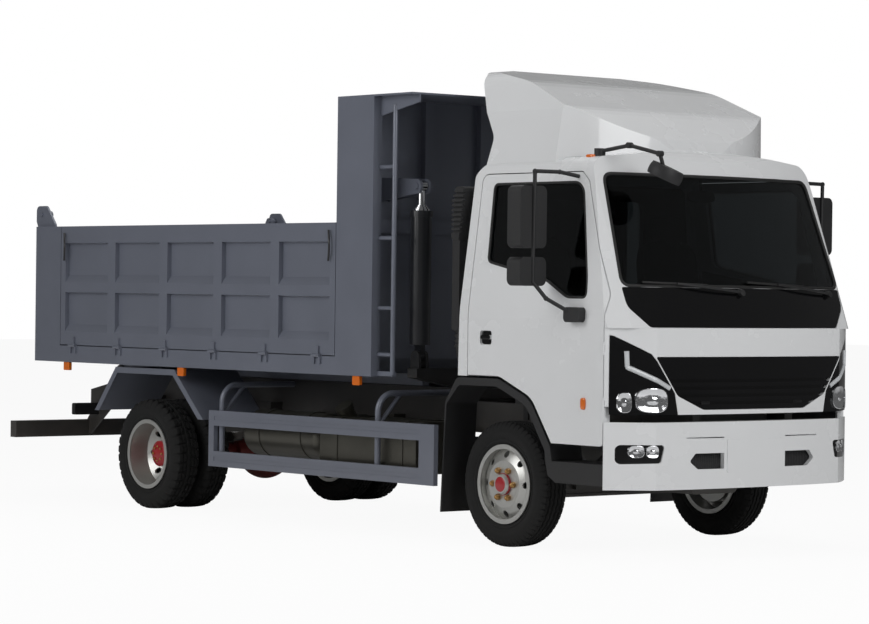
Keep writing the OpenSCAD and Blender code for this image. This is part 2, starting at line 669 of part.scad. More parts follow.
module cab_shell() color(cab_white) from_axle() {
    difference() {
        cab_form(0);
        difference() {
            cab_form(cab_wall);
            prism_y([[-600, 0], [1400, 0], [1400, floor_front], [floor_step, floor_front],
                     [floor_step, floor_rear], [-600, floor_rear]], -1200, 1200);
        }
        // Room under the floor, between the wheel arches and over the engine
        block([-100, -745, 400], [pivot_x + 6, 745, floor_front - floor_t]);
        prism_y([[560, 500], [pivot_x + 6, 500], [pivot_x + 6, floor_front - floor_t], [360, floor_front - floor_t]],
                -cab_half - 50, cab_half + 50);
        both_sides() difference() {
            prism_y(rounded(door_cut), 600, 1200);
            cab_tube(cab_wall + 8);
        }
        both_sides() for (z = door_hinge_z) rod_z(door_hinge[0], door_hinge[1], z - knuckle_half, z + knuckle_half, 10);
        prism_x(rounded(inset(screen_path, -panel_gap)), 600, 1400);
        prism_x(rounded(inset(rear_window_path, -panel_gap)), -600, 0);
        panel_pocket(cowl_path, 900);
        panel_pocket(grille_path, 900);
        both_sides() panel_pocket(lamp_path, lamp_x - panel_gap);
        pivot_room();
    }
    both_sides() difference() {
        union() {
            rod_y(pivot_x, pivot_lug[0], pivot_lug[1], pivot_z, 26);
            block([pivot_x - 26, pivot_lug[0], pivot_z], [pivot_x + 26, pivot_lug[1], pivot_z + 42]);
        }
        rod_y(pivot_x, 0, rail_y, pivot_z, pivot_pin_r + pin_gap);
    }
    both_sides() for (z = door_hinge_z) {
        for (s = [z - 2 * knuckle_half, z + knuckle_half + pin_gap])
            rod_z(door_hinge[0], door_hinge[1], s, s + knuckle_half - pin_gap, knuckle_r);
        rod_z(door_hinge[0], door_hinge[1], z - 2 * knuckle_half, z + 2 * knuckle_half, door_pin_r);
    }
}

glass_seat = 6;
glass_t = 6;

module cab_glass() color(glass_dark) from_axle() {
    difference() {
        intersection() {
            cab_tube(glass_seat);
            prism_x(rounded(inset(screen_path, -panel_gap + pin_gap)), 600, 1400);
        }
        cab_tube(glass_seat + glass_t);
    }
    difference() {
        intersection() {
            prism_y(rounded(inset(cab_side, glass_seat)), -600, 600);
            prism_x(rounded(inset(rear_window_path, -panel_gap + pin_gap)), -600, 0);
        }
        prism_y(rounded(inset(cab_side, glass_seat + glass_t)), -700, 700);
    }
}

module cowl_panel() color(black_plastic) from_axle() front_panel(cowl_path, 900, 3);

// Grille: gloss band on top, slats below it with grooves between
slat_z = [918, 962, 1006, 1050];

module grille() color(black_plastic) from_axle() difference() {
    front_panel(grille_path, 900, 0);
    difference() {
        for (z = slat_z) prism_x(rounded(box_path(-700, z, 700, z + 18, 4)), 900, 1400);
        cab_tube(22);
    }
    pivot_room(10);
}

module headlamps() color("#c9ced3") from_axle() both_sides() front_panel(lamp_path, lamp_x, 0);

// Fog lamps that fill the bumper's mouths
module fog_lamps() color("#c9ced3") from_axle() both_sides() difference() {
    intersection() {
        translate([0, 0, 500]) linear_extrude(300) front_plan(front_overhang, 8);
        prism_x(rounded(inset(fog_path, pin_gap)), 900, 1300);
    }
    translate([0, 0, 500]) linear_extrude(300) front_plan(front_overhang, bumper_wall + 25);
}

// Roof deflector: hollow moulding, open at the back and below
deflector_half = 900;
deflector_wall = 14;
deflector_side = [[-300, 2370, 0], [690, 2370, 0], [640, 2530, 60], [430, 2700, 300], [0, 2885, 700],
                  [-578, 2998, 6], [-484, 2945, 10], [-250, 2541, 80]];
deflector_cross = [[-deflector_half, 2300, 0], [deflector_half, 2300, 0], [deflector_half - 40, 2700, 0],
                   [deflector_half - 130, 2960, 160], [0, 3040, 1500], [-deflector_half + 130, 2960, 160],
                   [-deflector_half + 40, 2700, 0]];

module deflector_form(d) {
    intersection() {
        prism_y(rounded(inset(deflector_side, d)), -1000, 1000);
        prism_x(rounded(inset(deflector_cross, d)), -700, 900);
        translate([-660, 0, 2300]) linear_extrude(900) circle(r = 1340 - d, $fn = 240);
    }
}

// Hollow of the deflector: its outline moved in, run out through the back and the bottom
module deflector_hollow(d) {
    q = inset(deflector_side, d);
    slope = (q[5][1] - q[4][1]) / (q[5][0] - q[4][0]);
    back = -800;
    intersection() {
        prism_y(rounded([[back, 2200, 0], [q[1][0], 2200, 0], q[2], q[3], q[4], [back, q[4][1] + slope * (back - q[4][0]), 0]]),
                -1000, 1000);
        prism_x(rounded(inset([for (p = deflector_cross) [p[0], p[1] < 2400 ? p[1] - 200 : p[1], p[2]]], d)), back, 900);
        translate([-660, 0, 2200]) linear_extrude(1000) circle(r = 1340 - d, $fn = 240);
    }
}

module roof_deflector() color(cab_white) from_axle() difference() {
    deflector_form(0);
    deflector_hollow(deflector_wall);
    cab_form(-pin_gap);
}

// Front mirror: foot on the roof, two bends of tube and a domed head
module front_mirror() color(black_plastic) from_axle() {
    bends = [[640, -800, 2432], [890, -790, 2462], [1075, -715, 2410], [1085, -688, 2310]];
    difference() {
        rod_z(bends[0][0], bends[0][1], 2380, 2450, 34);
        cab_form(-pin_gap);
    }
    for (i = [0 : 2]) strut(bends[i], bends[i + 1], 12);
    for (i = [1, 2]) rod_y(bends[i][0], bends[i][1] - 17, bends[i][1] + 17, bends[i][2], 18);
    translate([1085, -680, 2290]) rotate([0, 25, 35]) intersection() {
        sphere(r = 108);
        block([-200, -200, -30], [200, 200, 45]);
    }
}

// Seats: [middle y, width]
seat_table = [[480, 520], [-150, 420], [-620, 480]];

module seats() color("#2a2b2e") from_axle() for (s = seat_table) {
    y0 = s[0] - s[1] / 2;
    y1 = s[0] + s[1] / 2;
    prism_y(rounded([[-60, 1210, 30], [300, 1210, 20], [400, 1250, 40], [400, 1340, 40], [-20, 1330, 40]]), y0, y1);
    prism_y(rounded([[-60, 1215, 20], [20, 1260, 40], [-60, 1900, 40], [-165, 1900, 40], [-150, 1400, 100]]), y0 + 10, y1 - 10);
    prism_y(rounded(box_path(-150, 1910, -70, 2080, 30)), s[0] - 130, s[0] + 130);
    for (y = [s[0] - 60, s[0] + 60]) rod_z(-110, y, 1880, 1930, 8);
    block([0, y0 + 40, floor_rear], [300, y1 - 40, 1215]);
}

wheel_tilt = 62;

module dashboard() color(black_plastic) from_axle() {
    intersection() {
        prism_y(rounded([[850, 1150, 40], [1010, 1050, 40], [1060, floor_front, 0], [1148, floor_front, 0],
                         [1148, 1330, 0], [1060, 1470, 20], [900, 1490, 40], [850, 1330, 60]]), -cab_half, cab_half);
        cab_form(cab_wall + 3);
        block([800, -935, floor_front], [1200, 935, 1600]);
    }
    // Steering wheel with its column
    translate([700, 480, 1500]) rotate([0, -90 + wheel_tilt, 0]) {
        rotate_extrude() translate([205, 0]) circle(r = 15, $fn = 24);
        for (a = [0, 120, 240]) rotate([0, 0, a]) translate([30, -14, -8]) cube([166, 28, 14]);
        translate([0, 0, -20]) cylinder(h = 34, r = 52);
        translate([0, 0, -330]) cylinder(h = 320, r = 28);
    }
}

// Doors: hung on their front edge, with the window cut out and a recessed handle
handle = [[-172, 1248], [-62, 1336]];
door_inner = 850;

module door_body() {
    difference() {
        intersection() {
            cab_form(0);
            prism_y(rounded(door_path), door_inner, 1200);
        }
        cab_tube(cab_wall);
        prism_y(rounded(inset(window_path, -panel_gap)), 600, 1200);
        prism_y(rounded(box_path(handle[0][0], handle[0][1], handle[1][0], handle[1][1], 18)), cab_half - 16, 1200);
        for (z = door_hinge_z, s = [-2 * knuckle_half - 1, knuckle_half])
            rod_z(door_hinge[0], door_hinge[1], z + s, z + s + knuckle_half + 1, knuckle_r + 1.5);
        for (z = door_hinge_z) rod_z(door_hinge[0], door_hinge[1], z - 50, z + 50, door_pin_r + pin_gap);
    }
    for (z = door_hinge_z) difference() {
        rod_z(door_hinge[0], door_hinge[1], z - knuckle_half, z + knuckle_half, knuckle_r);
        rod_z(door_hinge[0], door_hinge[1], z - 50, z + 50, door_pin_r + pin_gap);
    }
    prism_y(rounded(box_path(handle[0][0] + 8, handle[0][1] + 34, handle[1][0] - 8, handle[1][1] - 28, 8)),
            cab_half - 17, cab_half + 4);
}

module door_pane() {
    difference() {
        intersection() {
            cab_tube(14);
            prism_y(rounded(inset(window_path, -panel_gap + pin_gap)), 600, 1200);
        }
        cab_tube(14 + glass_t);
    }
}

module door_left() color(cab_white) from_axle() door_body();
module door_right() color(cab_white) from_axle() mirror([0, 1, 0]) door_body();
module door_glass_left() color(glass_dark) from_axle() door_pane();
module door_glass_right() color(glass_dark) from_axle() mirror([0, 1, 0]) door_pane();

// Mirrors: a bent tube on the door carries a tall and a short head
mirror_y = 1245;
mirror_tube = 12;
mirror_heads = [[1840, 2214], [1614, 1787]];

module mirror_set() {
    path = [[600, cab_half - 125, 2276], [580, 1070, 2300], [555, mirror_y, 2300], [545, mirror_y, 1640],
            [600, mirror_y - 60, 1540], [700, cab_half + 20, 1450]];
    difference() {
        union() {
            for (i = [0 : len(path) - 2]) strut(path[i], path[i + 1], mirror_tube);
            for (i = [1 : len(path) - 2]) translate(path[i]) sphere(r = mirror_tube + 3);
            prism_y(rounded(box_path(650, 1400, 790, 1490, 25)), cab_half - 30, cab_half + 50);
        }
        cab_tube(-pin_gap);
    }
    for (z = mirror_heads) prism_x(rounded(box_path(mirror_y - 105, z[0], mirror_y + 105, z[1], 40)), 430, 548);
}

module mirror_left() color(black_plastic) from_axle() mirror_set();
module mirror_right() color(black_plastic) from_axle() mirror([0, 1, 0]) mirror_set();

// Bed: floor, sills, bearers, runners with the pivot knuckles, and the drop sides' hinges
bed_half = bed_w / 2;
bed_inner = bed_half - side_t;
floor_z = sill_bottom + sill_h;
floor_plate = 18;
// The sills lie this much below the floor, and the posts stand on them
sill_step = 3;
sill_top = floor_z - sill_step;
bearer_step = 420;
bearer_w = 60;
side_top = floor_z + side_h;
pillar_w = 380;
post_w = 340;
wall_t = 70;
wall_front = -bed_front - 250;
side_x = [bed_rear + post_w + run_gap, -bed_front - pillar_w - run_gap];
side_hinge_y = bed_half + 14;
side_hinge_r = 12;
side_pin_r = 5;
side_hinges = 6;
function side_hinge_x(i) = side_x[0] + 180 + i * (side_x[1] - side_x[0] - 360) / (side_hinges - 1);

module bed_floor() color(bed_grey) from_axle() {
    front = wall_front - wall_t;
    block([bed_rear, -bed_inner, floor_z - floor_plate], [front, bed_inner, floor_z]);
    for (x = [bed_rear : bearer_step : front - bearer_w])
        block([x, -bed_inner, sill_bottom], [x + bearer_w, bed_inner, floor_z - floor_plate]);
    both_sides() {
        block([bed_rear, bed_inner, sill_bottom], [-bed_front, bed_half, sill_top]);
        block([hinge_x + 95, rail_y - 60, sub_top + 5], [front, rail_y - 5, sill_bottom]);
        prism_y([[hinge_x - 30, hinge_z], [hinge_x + 100, sub_top + 5], [hinge_x + 130, sill_bottom], [hinge_x - 30, sill_bottom]],
                rail_y - rail_flange + bed_pivot_ear + 2, rail_y - bed_pivot_ear - 2);
        rod_y(hinge_x, rail_y - rail_flange + bed_pivot_ear + 2, rail_y - bed_pivot_ear - 2, hinge_z, hinge_r);
        rod_y(hinge_x, rail_y - rail_flange, rail_y, hinge_z, hinge_pin_r);
        for (i = [0 : side_hinges - 1]) translate([side_hinge_x(i), 0, 0]) {
            for (x = [-41, 21]) {
                rod_x(x, x + 20, side_hinge_y, floor_z, side_hinge_r);
                block([x, bed_half - 4, floor_z - 55], [x + 20, side_hinge_y, floor_z]);
            }
            rod_x(-41, 41, side_hinge_y, floor_z, side_pin_r);
        }
    }
}

// Headboard: front wall with ribs, corner pillars, visor, hoist brackets and ladder
visor_x = -765;
ladder_x = -bed_front + 147;
ladder_y = -1060;

module headboard() color(bed_grey) from_axle() {
    block([wall_front - wall_t, -bed_inner, floor_z - floor_plate], [wall_front, bed_inner, headboard_top]);
    for (y = [-480, 0, 480]) block([wall_front, y - 40, floor_z], [wall_front + 45, y + 40, headboard_top - 12]);
    block([wall_front, -bed_inner, 1950], [wall_front + 35, bed_inner, 2040]);
    both_sides() {
        block([-bed_front - pillar_w, bed_inner, sill_top], [-bed_front, bed_half, headboard_top]);
        prism_y([[wall_front, headboard_top - 185], [visor_x, headboard_top - 60], [visor_x, headboard_top - 10], [wall_front, headboard_top - 10]],
                bed_inner, bed_inner + 12);
        // Clevis over the rod's eye
        for (y = [hoist_y - lug_half - 6 - cheek_t, hoist_y + lug_half + 6])
            prism_y(rounded([[wall_front, hoist_top_z - 95, 0], [hoist_x + 44, hoist_top_z - 44, 40], [hoist_x + 44, hoist_top_z + 44, 40],
                             [wall_front, hoist_top_z + 60, 0]]), y, y + cheek_t);
        rod_y(hoist_x, hoist_y - lug_half - 6 - cheek_t - 10, hoist_y - lug_half - 6 - cheek_t + 2, hoist_top_z, hoist_pin_r + 8);
        rod_y(hoist_x, hoist_y + lug_half + 6 + cheek_t - 2, hoist_y + lug_half + 6 + cheek_t + 10, hoist_top_z, hoist_pin_r + 8);
    }
    block([wall_front - wall_t, -bed_half, headboard_top - 12], [visor_x, bed_half, headboard_top]);
    rod_z(ladder_x, ladder_y, sill_bottom + 17, headboard_top - 70, 16);
    for (z = [1019, 1462, 1912, 2369]) rod_x(-bed_front - 8, ladder_x, ladder_y, max(z, floor_z + 20), 13);
    block([-bed_front, ladder_y - 10, sill_bottom + 5], [ladder_x + 12, ladder_y + 20, sill_bottom + 35]);
}

// Rear posts with the ears and pins that the tailgate hangs on
gate_pin = [bed_rear + 30, side_top + 90];
gate_pin_r = 14;
ear_t = 16;

module rear_posts() color(bed_grey) from_axle() both_sides() {
    block([bed_rear, bed_inner, sill_top], [bed_rear + post_w, bed_half, side_top]);
    prism_y(rounded([[bed_rear, side_top - 60, 0], [bed_rear + 224, side_top - 60, 0], [bed_rear + 200, side_top + 20, 40],
                     [gate_pin[0] + 55, side_top + 155, 40], [bed_rear - 52, side_top + 155, 40], [bed_rear - 52, side_top + 40, 20]]),
            bed_half - 50, bed_half - 50 + ear_t);
    rod_y(gate_pin[0], bed_inner - 50, bed_half - 50 + ear_t + 14, gate_pin[1], gate_pin_r);
}

// Side marker lamps under the sills
marker_x = [bed_rear + 420, -3300, -1320];

module marker_lamps() color("#e07a14") from_axle() both_sides() for (x = marker_x)
    prism_y(rounded(box_path(x - 38, sill_bottom - 60, x + 38, sill_bottom, 8)), bed_half - 30, bed_half - 8);

// Pans pressed into a panel: cuts of depth d with a sloping lower edge, in local x (along), y (out), z
module pans(x0, x1, count, rib, rows, face, d) {
    pitch = (x1 - x0 + rib) / count;
    for (i = [0 : count - 1], r = rows)
        prism_x([[face + 1, r[0]], [face + 1, r[1]], [face - d, r[1] - 8], [face - d, r[0] + 55]],
                x0 + i * pitch, x0 + i * pitch + pitch - rib);
}

side_bottom = floor_z + 5;
rail_top_h = 122;
pan_rows = [[side_bottom + 95, side_bottom + 385], [side_bottom + 455, side_top - rail_top_h]];
rib_w = 98;
pan_depth = 34;

module drop_side() {
    difference() {
        block([side_x[0], bed_inner, side_bottom], [side_x[1], bed_half, side_top]);
        pans(side_x[0] + 60, side_x[1] - 60, pan_count, rib_w, pan_rows, bed_half, pan_depth);
    }
    for (i = [0 : side_hinges - 1]) translate([side_hinge_x(i), 0, 0]) difference() {
        union() {
            rod_x(-20, 20, side_hinge_y, floor_z, side_hinge_r);
            block([-20, bed_half - 4, side_bottom + 1], [20, side_hinge_y, floor_z + 62]);
        }
        rod_x(-30, 30, side_hinge_y, floor_z, side_pin_r + pin_gap);
    }
}

module drop_side_left() color(bed_grey) from_axle() drop_side();
module drop_side_right() color(bed_grey) from_axle() mirror([0, 1, 0]) drop_side();

gate_t = 55;
gate_half = bed_inner - 5;
gate_arm = [bed_inner - 40, bed_inner - 5];

module tailgate() color(bed_grey) from_axle() {
    x1 = bed_rear - 5;
    x0 = x1 - gate_t;
    bottom = sill_bottom + 10;
    difference() {
        block([x0, -gate_half, bottom], [x1, gate_half, side_top]);
        rotate([0, 0, 90])
            pans(-gate_half + 60, gate_half - 60, 4, rib_w,
                 [[bottom + 150, bottom + 480], [bottom + 560, side_top - rail_top_h]], -x0, 30);
    }
    both_sides() difference() {
        prism_y(rounded([[x0, side_top - 80, 0], [x1, side_top - 80, 0], [x1, side_top + 10, 0],
                         [gate_pin[0] + 28, gate_pin[1] - 28, 26], [gate_pin[0] + 28, gate_pin[1] + 28, 26],
                         [gate_pin[0] - 28, gate_pin[1] + 28, 26], [x0, side_top + 20, 0]]), gate_arm[0], gate_arm[1]);
        rod_y(gate_pin[0], 0, 2000, gate_pin[1], gate_pin_r + pin_gap);
    }
}

// Hoist stages: each tube slides in the one before it; z of bottom and top at rest
barrel_z = [1227, 2093];
barrel_floor = 16;
stage_gap = 0.5;
stage_rise = 12;
function stage_r(k) = hoist_r - k * stage_step;
function stage_z(k) = [barrel_z[0] + barrel_floor + 2 * k, barrel_z[1] + stage_rise * k];

module hoist_stage(k) from_axle() both_sides() {
    z = stage_z(k);
    difference() {
        rod_z(hoist_x, hoist_y, z[0], z[1], stage_r(k));
        rod_z(hoist_x, hoist_y, z[0] - 1, z[1] + 1, stage_r(k + 1) + stage_gap);
    }
}

module hoist_barrels() color("#26292e") from_axle() both_sides() {
    difference() {
        union() {
            rod_z(hoist_x, hoist_y, barrel_z[0], barrel_z[1], hoist_r);
            rod_z(hoist_x, hoist_y, barrel_z[1] - 40, barrel_z[1], hoist_r + 8);
        }
        rod_z(hoist_x, hoist_y, barrel_z[0] + barrel_floor, barrel_z[1] + 1, stage_r(1) + stage_gap);
    }
    rod_y(hoist_x, hoist_y - lug_half, hoist_y + lug_half, hoist_base_z, 34);
    block([hoist_x - 30, hoist_y - lug_half, hoist_base_z], [hoist_x + 30, hoist_y + lug_half, barrel_z[0] + 2]);
    rod_y(hoist_x, hoist_y - lug_half - 2 - cheek_t, hoist_y + lug_half + 2 + cheek_t, hoist_base_z, hoist_pin_r);
}

module hoist_stage_1() color(steel) hoist_stage(1);
module hoist_stage_2() color(steel) hoist_stage(2);
module hoist_stage_3() color(steel) hoist_stage(3);

module hoist_rods() color(steel) from_axle() both_sides() {
    rod_z(hoist_x, hoist_y, stage_z(4)[0], hoist_top_z - 20, stage_r(4));
    difference() {
        rod_y(hoist_x, hoist_y - lug_half, hoist_y + lug_half, hoist_top_z, 38);
        rod_y(hoist_x, hoist_y - 50, hoist_y + 50, hoist_top_z, hoist_pin_r + pin_gap);
    }
}

// Steering knuckle: fork on the kingpin, stub axle and steering arm
stub_r = 30;
stub_end = front_track / 2 + 55;
fork_t = 25;

module knuckle() {
    zc = tyre_r;
    rod_z(0, kingpin_y, zc - boss_half - fork_t, zc + boss_half + fork_t, kingpin_r);
    for (z = [zc + boss_half + 3, zc - boss_half - 3 - fork_t]) {
        rod_z(0, kingpin_y, z, z + fork_t, 44);
        block([-44, kingpin_y, z], [44, kingpin_y + 80, z + fork_t]);
    }
    block([-44, kingpin_y + 50, zc - boss_half - 3 - fork_t], [44, kingpin_y + 80, zc + boss_half + 3 + fork_t]);
    rod_y(0, kingpin_y + 70, stub_end, zc, stub_r);
    rod_y(0, kingpin_y + 70, kingpin_y + 90, zc, 60);
    translate([0, 0, zc - boss_half - 3 - fork_t]) linear_extrude(fork_t)
        polygon([[0, kingpin_y - 40], [0, kingpin_y + 40], [arm_x - 22, arm_y + 24], [arm_x - 28, arm_y - 20], [arm_x + 10, arm_y - 28]]);
}

module knuckle_left() color(frame_black) from_axle() knuckle();
module knuckle_right() color(frame_black) from_axle() mirror([0, 1, 0]) knuckle();

// Wheels: profiles of [radius, distance from the tyre's middle], turned about the axle
rim_half = 97;
rim_wall = 9;
disc_holes = 8;

module turned(profile) { rotate([-90, 0, 0]) rotate_extrude($fn = 96) polygon(profile); }

module rim_barrel() {
    lip = rim_r + 14;
    turned([[rim_r - 14, -rim_half], [lip, -rim_half], [lip, -rim_half + 9], [rim_r, -rim_half + 13],
            [rim_r, rim_half - 13], [lip, rim_half - 9], [lip, rim_half], [rim_r - 14, rim_half],
            [rim_r - rim_wall, rim_half - 14], [rim_r - rim_wall, -rim_half + 14]]);
}

// Disc from the hub out to the barrel: flat face at y0, foot on the barrel at y1
module disc(y0, y1) {
    seat = rim_r - rim_wall + 2;
    difference() {
        turned([[50, y0], [148, y0], [186, y0 + (y1 - y0) * 0.4], [seat, y1], [seat, y1 + 13],
                [182, y0 + (y1 - y0) * 0.4 + 13], [145, y0 + 13], [50, y0 + 13]]);
        for (i = [0 : disc_holes - 1]) rotate([0, i * 360 / disc_holes, 0])
            rod_y(184, min(y0, y1) - 40, max(y0, y1) + 60, 0, 21);
    }
}

module front_wheel() {
    rim_barrel();
    disc(78, 34);
    difference() {
        union() {
            turned([[0, -62], [168, -62], [168, 10], [70, 20], [70, 60], [120, 78], [120, 92], [66, 92], [66, 112], [56, 124], [0, 124]]);
        }
        rod_y(0, -100, 58, 0, stub_r + pin_gap);
    }
}

module rear_wheel() {
    for (s = [-1, 1]) translate([0, s * twin_gap / 2, 0]) rim_barrel();
    disc(1, 62);
    mirror([0, 1, 0]) disc(1, 62);
    difference() {
        turned([[0, -190], [170, -190], [170, -40], [90, -20], [140, -2], [140, 2], [95, 16], [88, 120], [70, 135], [0, 135]]);
        rod_y(0, -300, 46, 0, spindle_r + pin_gap);
        turned([[axle_tube_r + 6, -191], [150, -191], [150, -60], [axle_tube_r + 6, -60]]);
    }
}

function tyre_profile() = let (h = tyre_w / 2, b = rim_r + pin_gap)
    [[b, -80], [b + 18, -84], [b + 34, -h + 9], [b + 74, -h], [tyre_r - 62, -h + 2], [tyre_r - 20, -h + 15],
     [tyre_r - 5, -h + 30], [tyre_r, -h + 46], [tyre_r, h - 46], [tyre_r - 5, h - 30], [tyre_r - 20, h - 15],
     [tyre_r - 62, h - 2], [b + 74, h], [b + 34, h - 9], [b + 18, 84], [b, 80]];

module at_front_wheel(side) from_axle() translate([0, side * front_track / 2, tyre_r]) mirror([0, side < 0 ? 1 : 0, 0]) children();
module at_rear_wheel(side) from_axle() translate([-wheelbase, side * rear_track / 2, tyre_r]) mirror([0, side < 0 ? 1 : 0, 0]) children();
module twin_tyres() { for (s = [-1, 1]) translate([0, s * twin_gap / 2, 0]) turned(tyre_profile()); }

module rim_front_left() color(steel) at_front_wheel(1) front_wheel();
module rim_front_right() color(steel) at_front_wheel(-1) front_wheel();
module rim_rear_left() color(steel) at_rear_wheel(1) rear_wheel();
module rim_rear_right() color(steel) at_rear_wheel(-1) rear_wheel();
module tyre_front_left() color(black_plastic) at_front_wheel(1) turned(tyre_profile());
module tyre_front_right() color(black_plastic) at_front_wheel(-1) turned(tyre_profile());
module tyre_rear_left() color(black_plastic) at_rear_wheel(1) twin_tyres();
module tyre_rear_right() color(black_plastic) at_rear_wheel(-1) twin_tyres();

frame_rails();
subframe();
driveline();
front_axle();
rear_axle();
leaf_springs();
fuel_tank();
air_tank();
side_guards();
rear_mudguards();
front_mudguards();
underrun_bar();
tail_lamps();
bumper();
air_intake();
tie_rod();
cab_shell();
cab_glass();
cowl_panel();
grille();
fog_lamps();
headlamps();
roof_deflector();
front_mirror();
seats();
dashboard();
door_left();
door_right();
door_glass_left();
door_glass_right();
mirror_left();
mirror_right();
bed_floor();
headboard();
rear_posts();
marker_lamps();
tailgate();
drop_side_left();
drop_side_right();
hoist_barrels();
hoist_stage_1();
hoist_stage_2();
hoist_stage_3();
hoist_rods();
knuckle_left();
knuckle_right();
rim_front_left();
rim_front_right();
rim_rear_left();
rim_rear_right();
tyre_front_left();
tyre_front_right();
tyre_rear_left();
tyre_rear_right();
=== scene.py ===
import bpy
import bmesh
import numpy as np
from mathutils import Matrix, Vector


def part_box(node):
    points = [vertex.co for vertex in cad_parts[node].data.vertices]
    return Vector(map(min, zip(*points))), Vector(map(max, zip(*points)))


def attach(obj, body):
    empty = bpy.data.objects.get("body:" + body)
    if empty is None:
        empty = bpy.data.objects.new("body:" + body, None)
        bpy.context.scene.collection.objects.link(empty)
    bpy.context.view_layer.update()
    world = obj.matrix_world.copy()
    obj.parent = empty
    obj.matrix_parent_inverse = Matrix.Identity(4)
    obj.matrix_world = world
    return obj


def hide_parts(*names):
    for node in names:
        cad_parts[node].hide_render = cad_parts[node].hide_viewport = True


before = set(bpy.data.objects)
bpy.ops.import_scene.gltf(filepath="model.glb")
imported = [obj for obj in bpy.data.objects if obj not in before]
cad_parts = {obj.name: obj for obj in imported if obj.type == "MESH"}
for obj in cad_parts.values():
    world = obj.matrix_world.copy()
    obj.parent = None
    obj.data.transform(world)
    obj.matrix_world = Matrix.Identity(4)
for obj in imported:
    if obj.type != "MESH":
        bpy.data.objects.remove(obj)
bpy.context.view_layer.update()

# Frame rails, subframe, axle beam and springs: pressed and welded steel channel, riveted into a ladder
# and dipped in satin black chassis paint. Road dust settles on it, thickest near the ground.

ROAD_DUST = (0.30, 0.27, 0.23)
COAT_ROUGHNESS, GLOSS_SPREAD = 0.06, 0.08
MOTTLE_SCALE, MOTTLE_DETAIL = 3.5, 6.0
GRAIN_DETAIL, GRAIN_HEIGHT = 2.0, 0.001


def finish(name, colour, rough, metal=0.0, coat=0.0, mottle=0.10, grain=900.0, bump=0.05, dust=0.0,
           dust_top=1.1):
    """A painted, moulded or metal finish. Broad noise shifts the colour's value and the roughness, fine noise
    is the grain's bump, and dust is a pale film that thins out linearly from the ground up to dust_top."""
    material = bpy.data.materials.new(name)
    material.use_nodes = True
    tree = material.node_tree
    shader = tree.nodes["Principled BSDF"]
    shader.inputs["Metallic"].default_value = metal
    shader.inputs["Coat Weight"].default_value = coat
    shader.inputs["Coat Roughness"].default_value = COAT_ROUGHNESS
    place = tree.nodes.new("ShaderNodeTexCoord").outputs["Object"]

    broad = tree.nodes.new("ShaderNodeTexNoise")
    broad.inputs["Scale"].default_value = MOTTLE_SCALE
    broad.inputs["Detail"].default_value = MOTTLE_DETAIL
    tree.links.new(place, broad.inputs["Vector"])
    shade = tree.nodes.new("ShaderNodeMix")
    shade.data_type = "RGBA"
    shade.inputs["A"].default_value = [c * (1 - mottle) for c in colour] + [1]
    shade.inputs["B"].default_value = [min(1, c * (1 + mottle)) for c in colour] + [1]
    tree.links.new(broad.outputs["Fac"], shade.inputs["Factor"])
    surface_colour = shade.outputs["Result"]

    gloss = tree.nodes.new("ShaderNodeMapRange")
    gloss.inputs["To Min"].default_value = max(0.02, rough - GLOSS_SPREAD)
    gloss.inputs["To Max"].default_value = min(1.0, rough + GLOSS_SPREAD)
    tree.links.new(broad.outputs["Fac"], gloss.inputs["Value"])
    tree.links.new(gloss.outputs["Result"], shader.inputs["Roughness"])

    if dust > 0:
        height = tree.nodes.new("ShaderNodeSeparateXYZ")
        tree.links.new(place, height.inputs["Vector"])
        film = tree.nodes.new("ShaderNodeMapRange")
        film.inputs["From Max"].default_value = dust_top
        film.inputs["To Min"].default_value = dust
        film.inputs["To Max"].default_value = 0.0
        tree.links.new(height.outputs["Z"], film.inputs["Value"])
        patch = tree.nodes.new("ShaderNodeMath")
        patch.operation = "MULTIPLY"
        tree.links.new(film.outputs["Result"], patch.inputs[0])
        tree.links.new(broad.outputs["Fac"], patch.inputs[1])
        dusty = tree.nodes.new("ShaderNodeMix")
        dusty.data_type = "RGBA"
        dusty.inputs["B"].default_value = [*ROAD_DUST, 1]
        tree.links.new(patch.outputs["Value"], dusty.inputs["Factor"])
        tree.links.new(surface_colour, dusty.inputs["A"])
        surface_colour = dusty.outputs["Result"]
    tree.links.new(surface_colour, shader.inputs["Base Color"])

    fine = tree.nodes.new("ShaderNodeTexNoise")
    fine.inputs["Scale"].default_value = grain
    fine.inputs["Detail"].default_value = GRAIN_DETAIL
    tree.links.new(place, fine.inputs["Vector"])
    relief = tree.nodes.new("ShaderNodeBump")
    relief.inputs["Strength"].default_value = bump
    relief.inputs["Distance"].default_value = GRAIN_HEIGHT
    tree.links.new(fine.outputs["Fac"], relief.inputs["Height"])
    tree.links.new(relief.outputs["Normal"], shader.inputs["Normal"])
    return material


def dress(material, *nodes):
    """Gives CAD nodes their finish through their own material slots."""
    for node in nodes:
        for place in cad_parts[node].material_slots:
            place.material = material


chassis_black = finish("chassis_black", (0.016, 0.016, 0.017), 0.45, coat=0.15, bump=0.12, grain=500,
                       dust=0.5)
dress(chassis_black, "frame_rails", "subframe", "front_axle", "leaf_springs", "underrun_bar", "tie_rod",
      "knuckle_left", "knuckle_right")

# Engine, gearbox and propeller shaft: grey cast iron and aluminium under a film of oil and road dirt,
# and the rear axle: a welded banjo housing in red axle paint.

cast_metal = finish("cast_metal", (0.10, 0.10, 0.10), 0.55, metal=0.6, bump=0.35, grain=260, dust=0.5)
dress(cast_metal, "driveline")
axle_red = finish("axle_red", (0.26, 0.010, 0.012), 0.42, coat=0.2, bump=0.15, grain=400, dust=0.5)
dress(axle_red, "rear_axle")

# Tyres: radial truck tyres of black rubber, moulded in one piece. The front ones have a rib tread with
# four zigzag grooves, the twin rear ones a block tread with lugs cut across both shoulders.

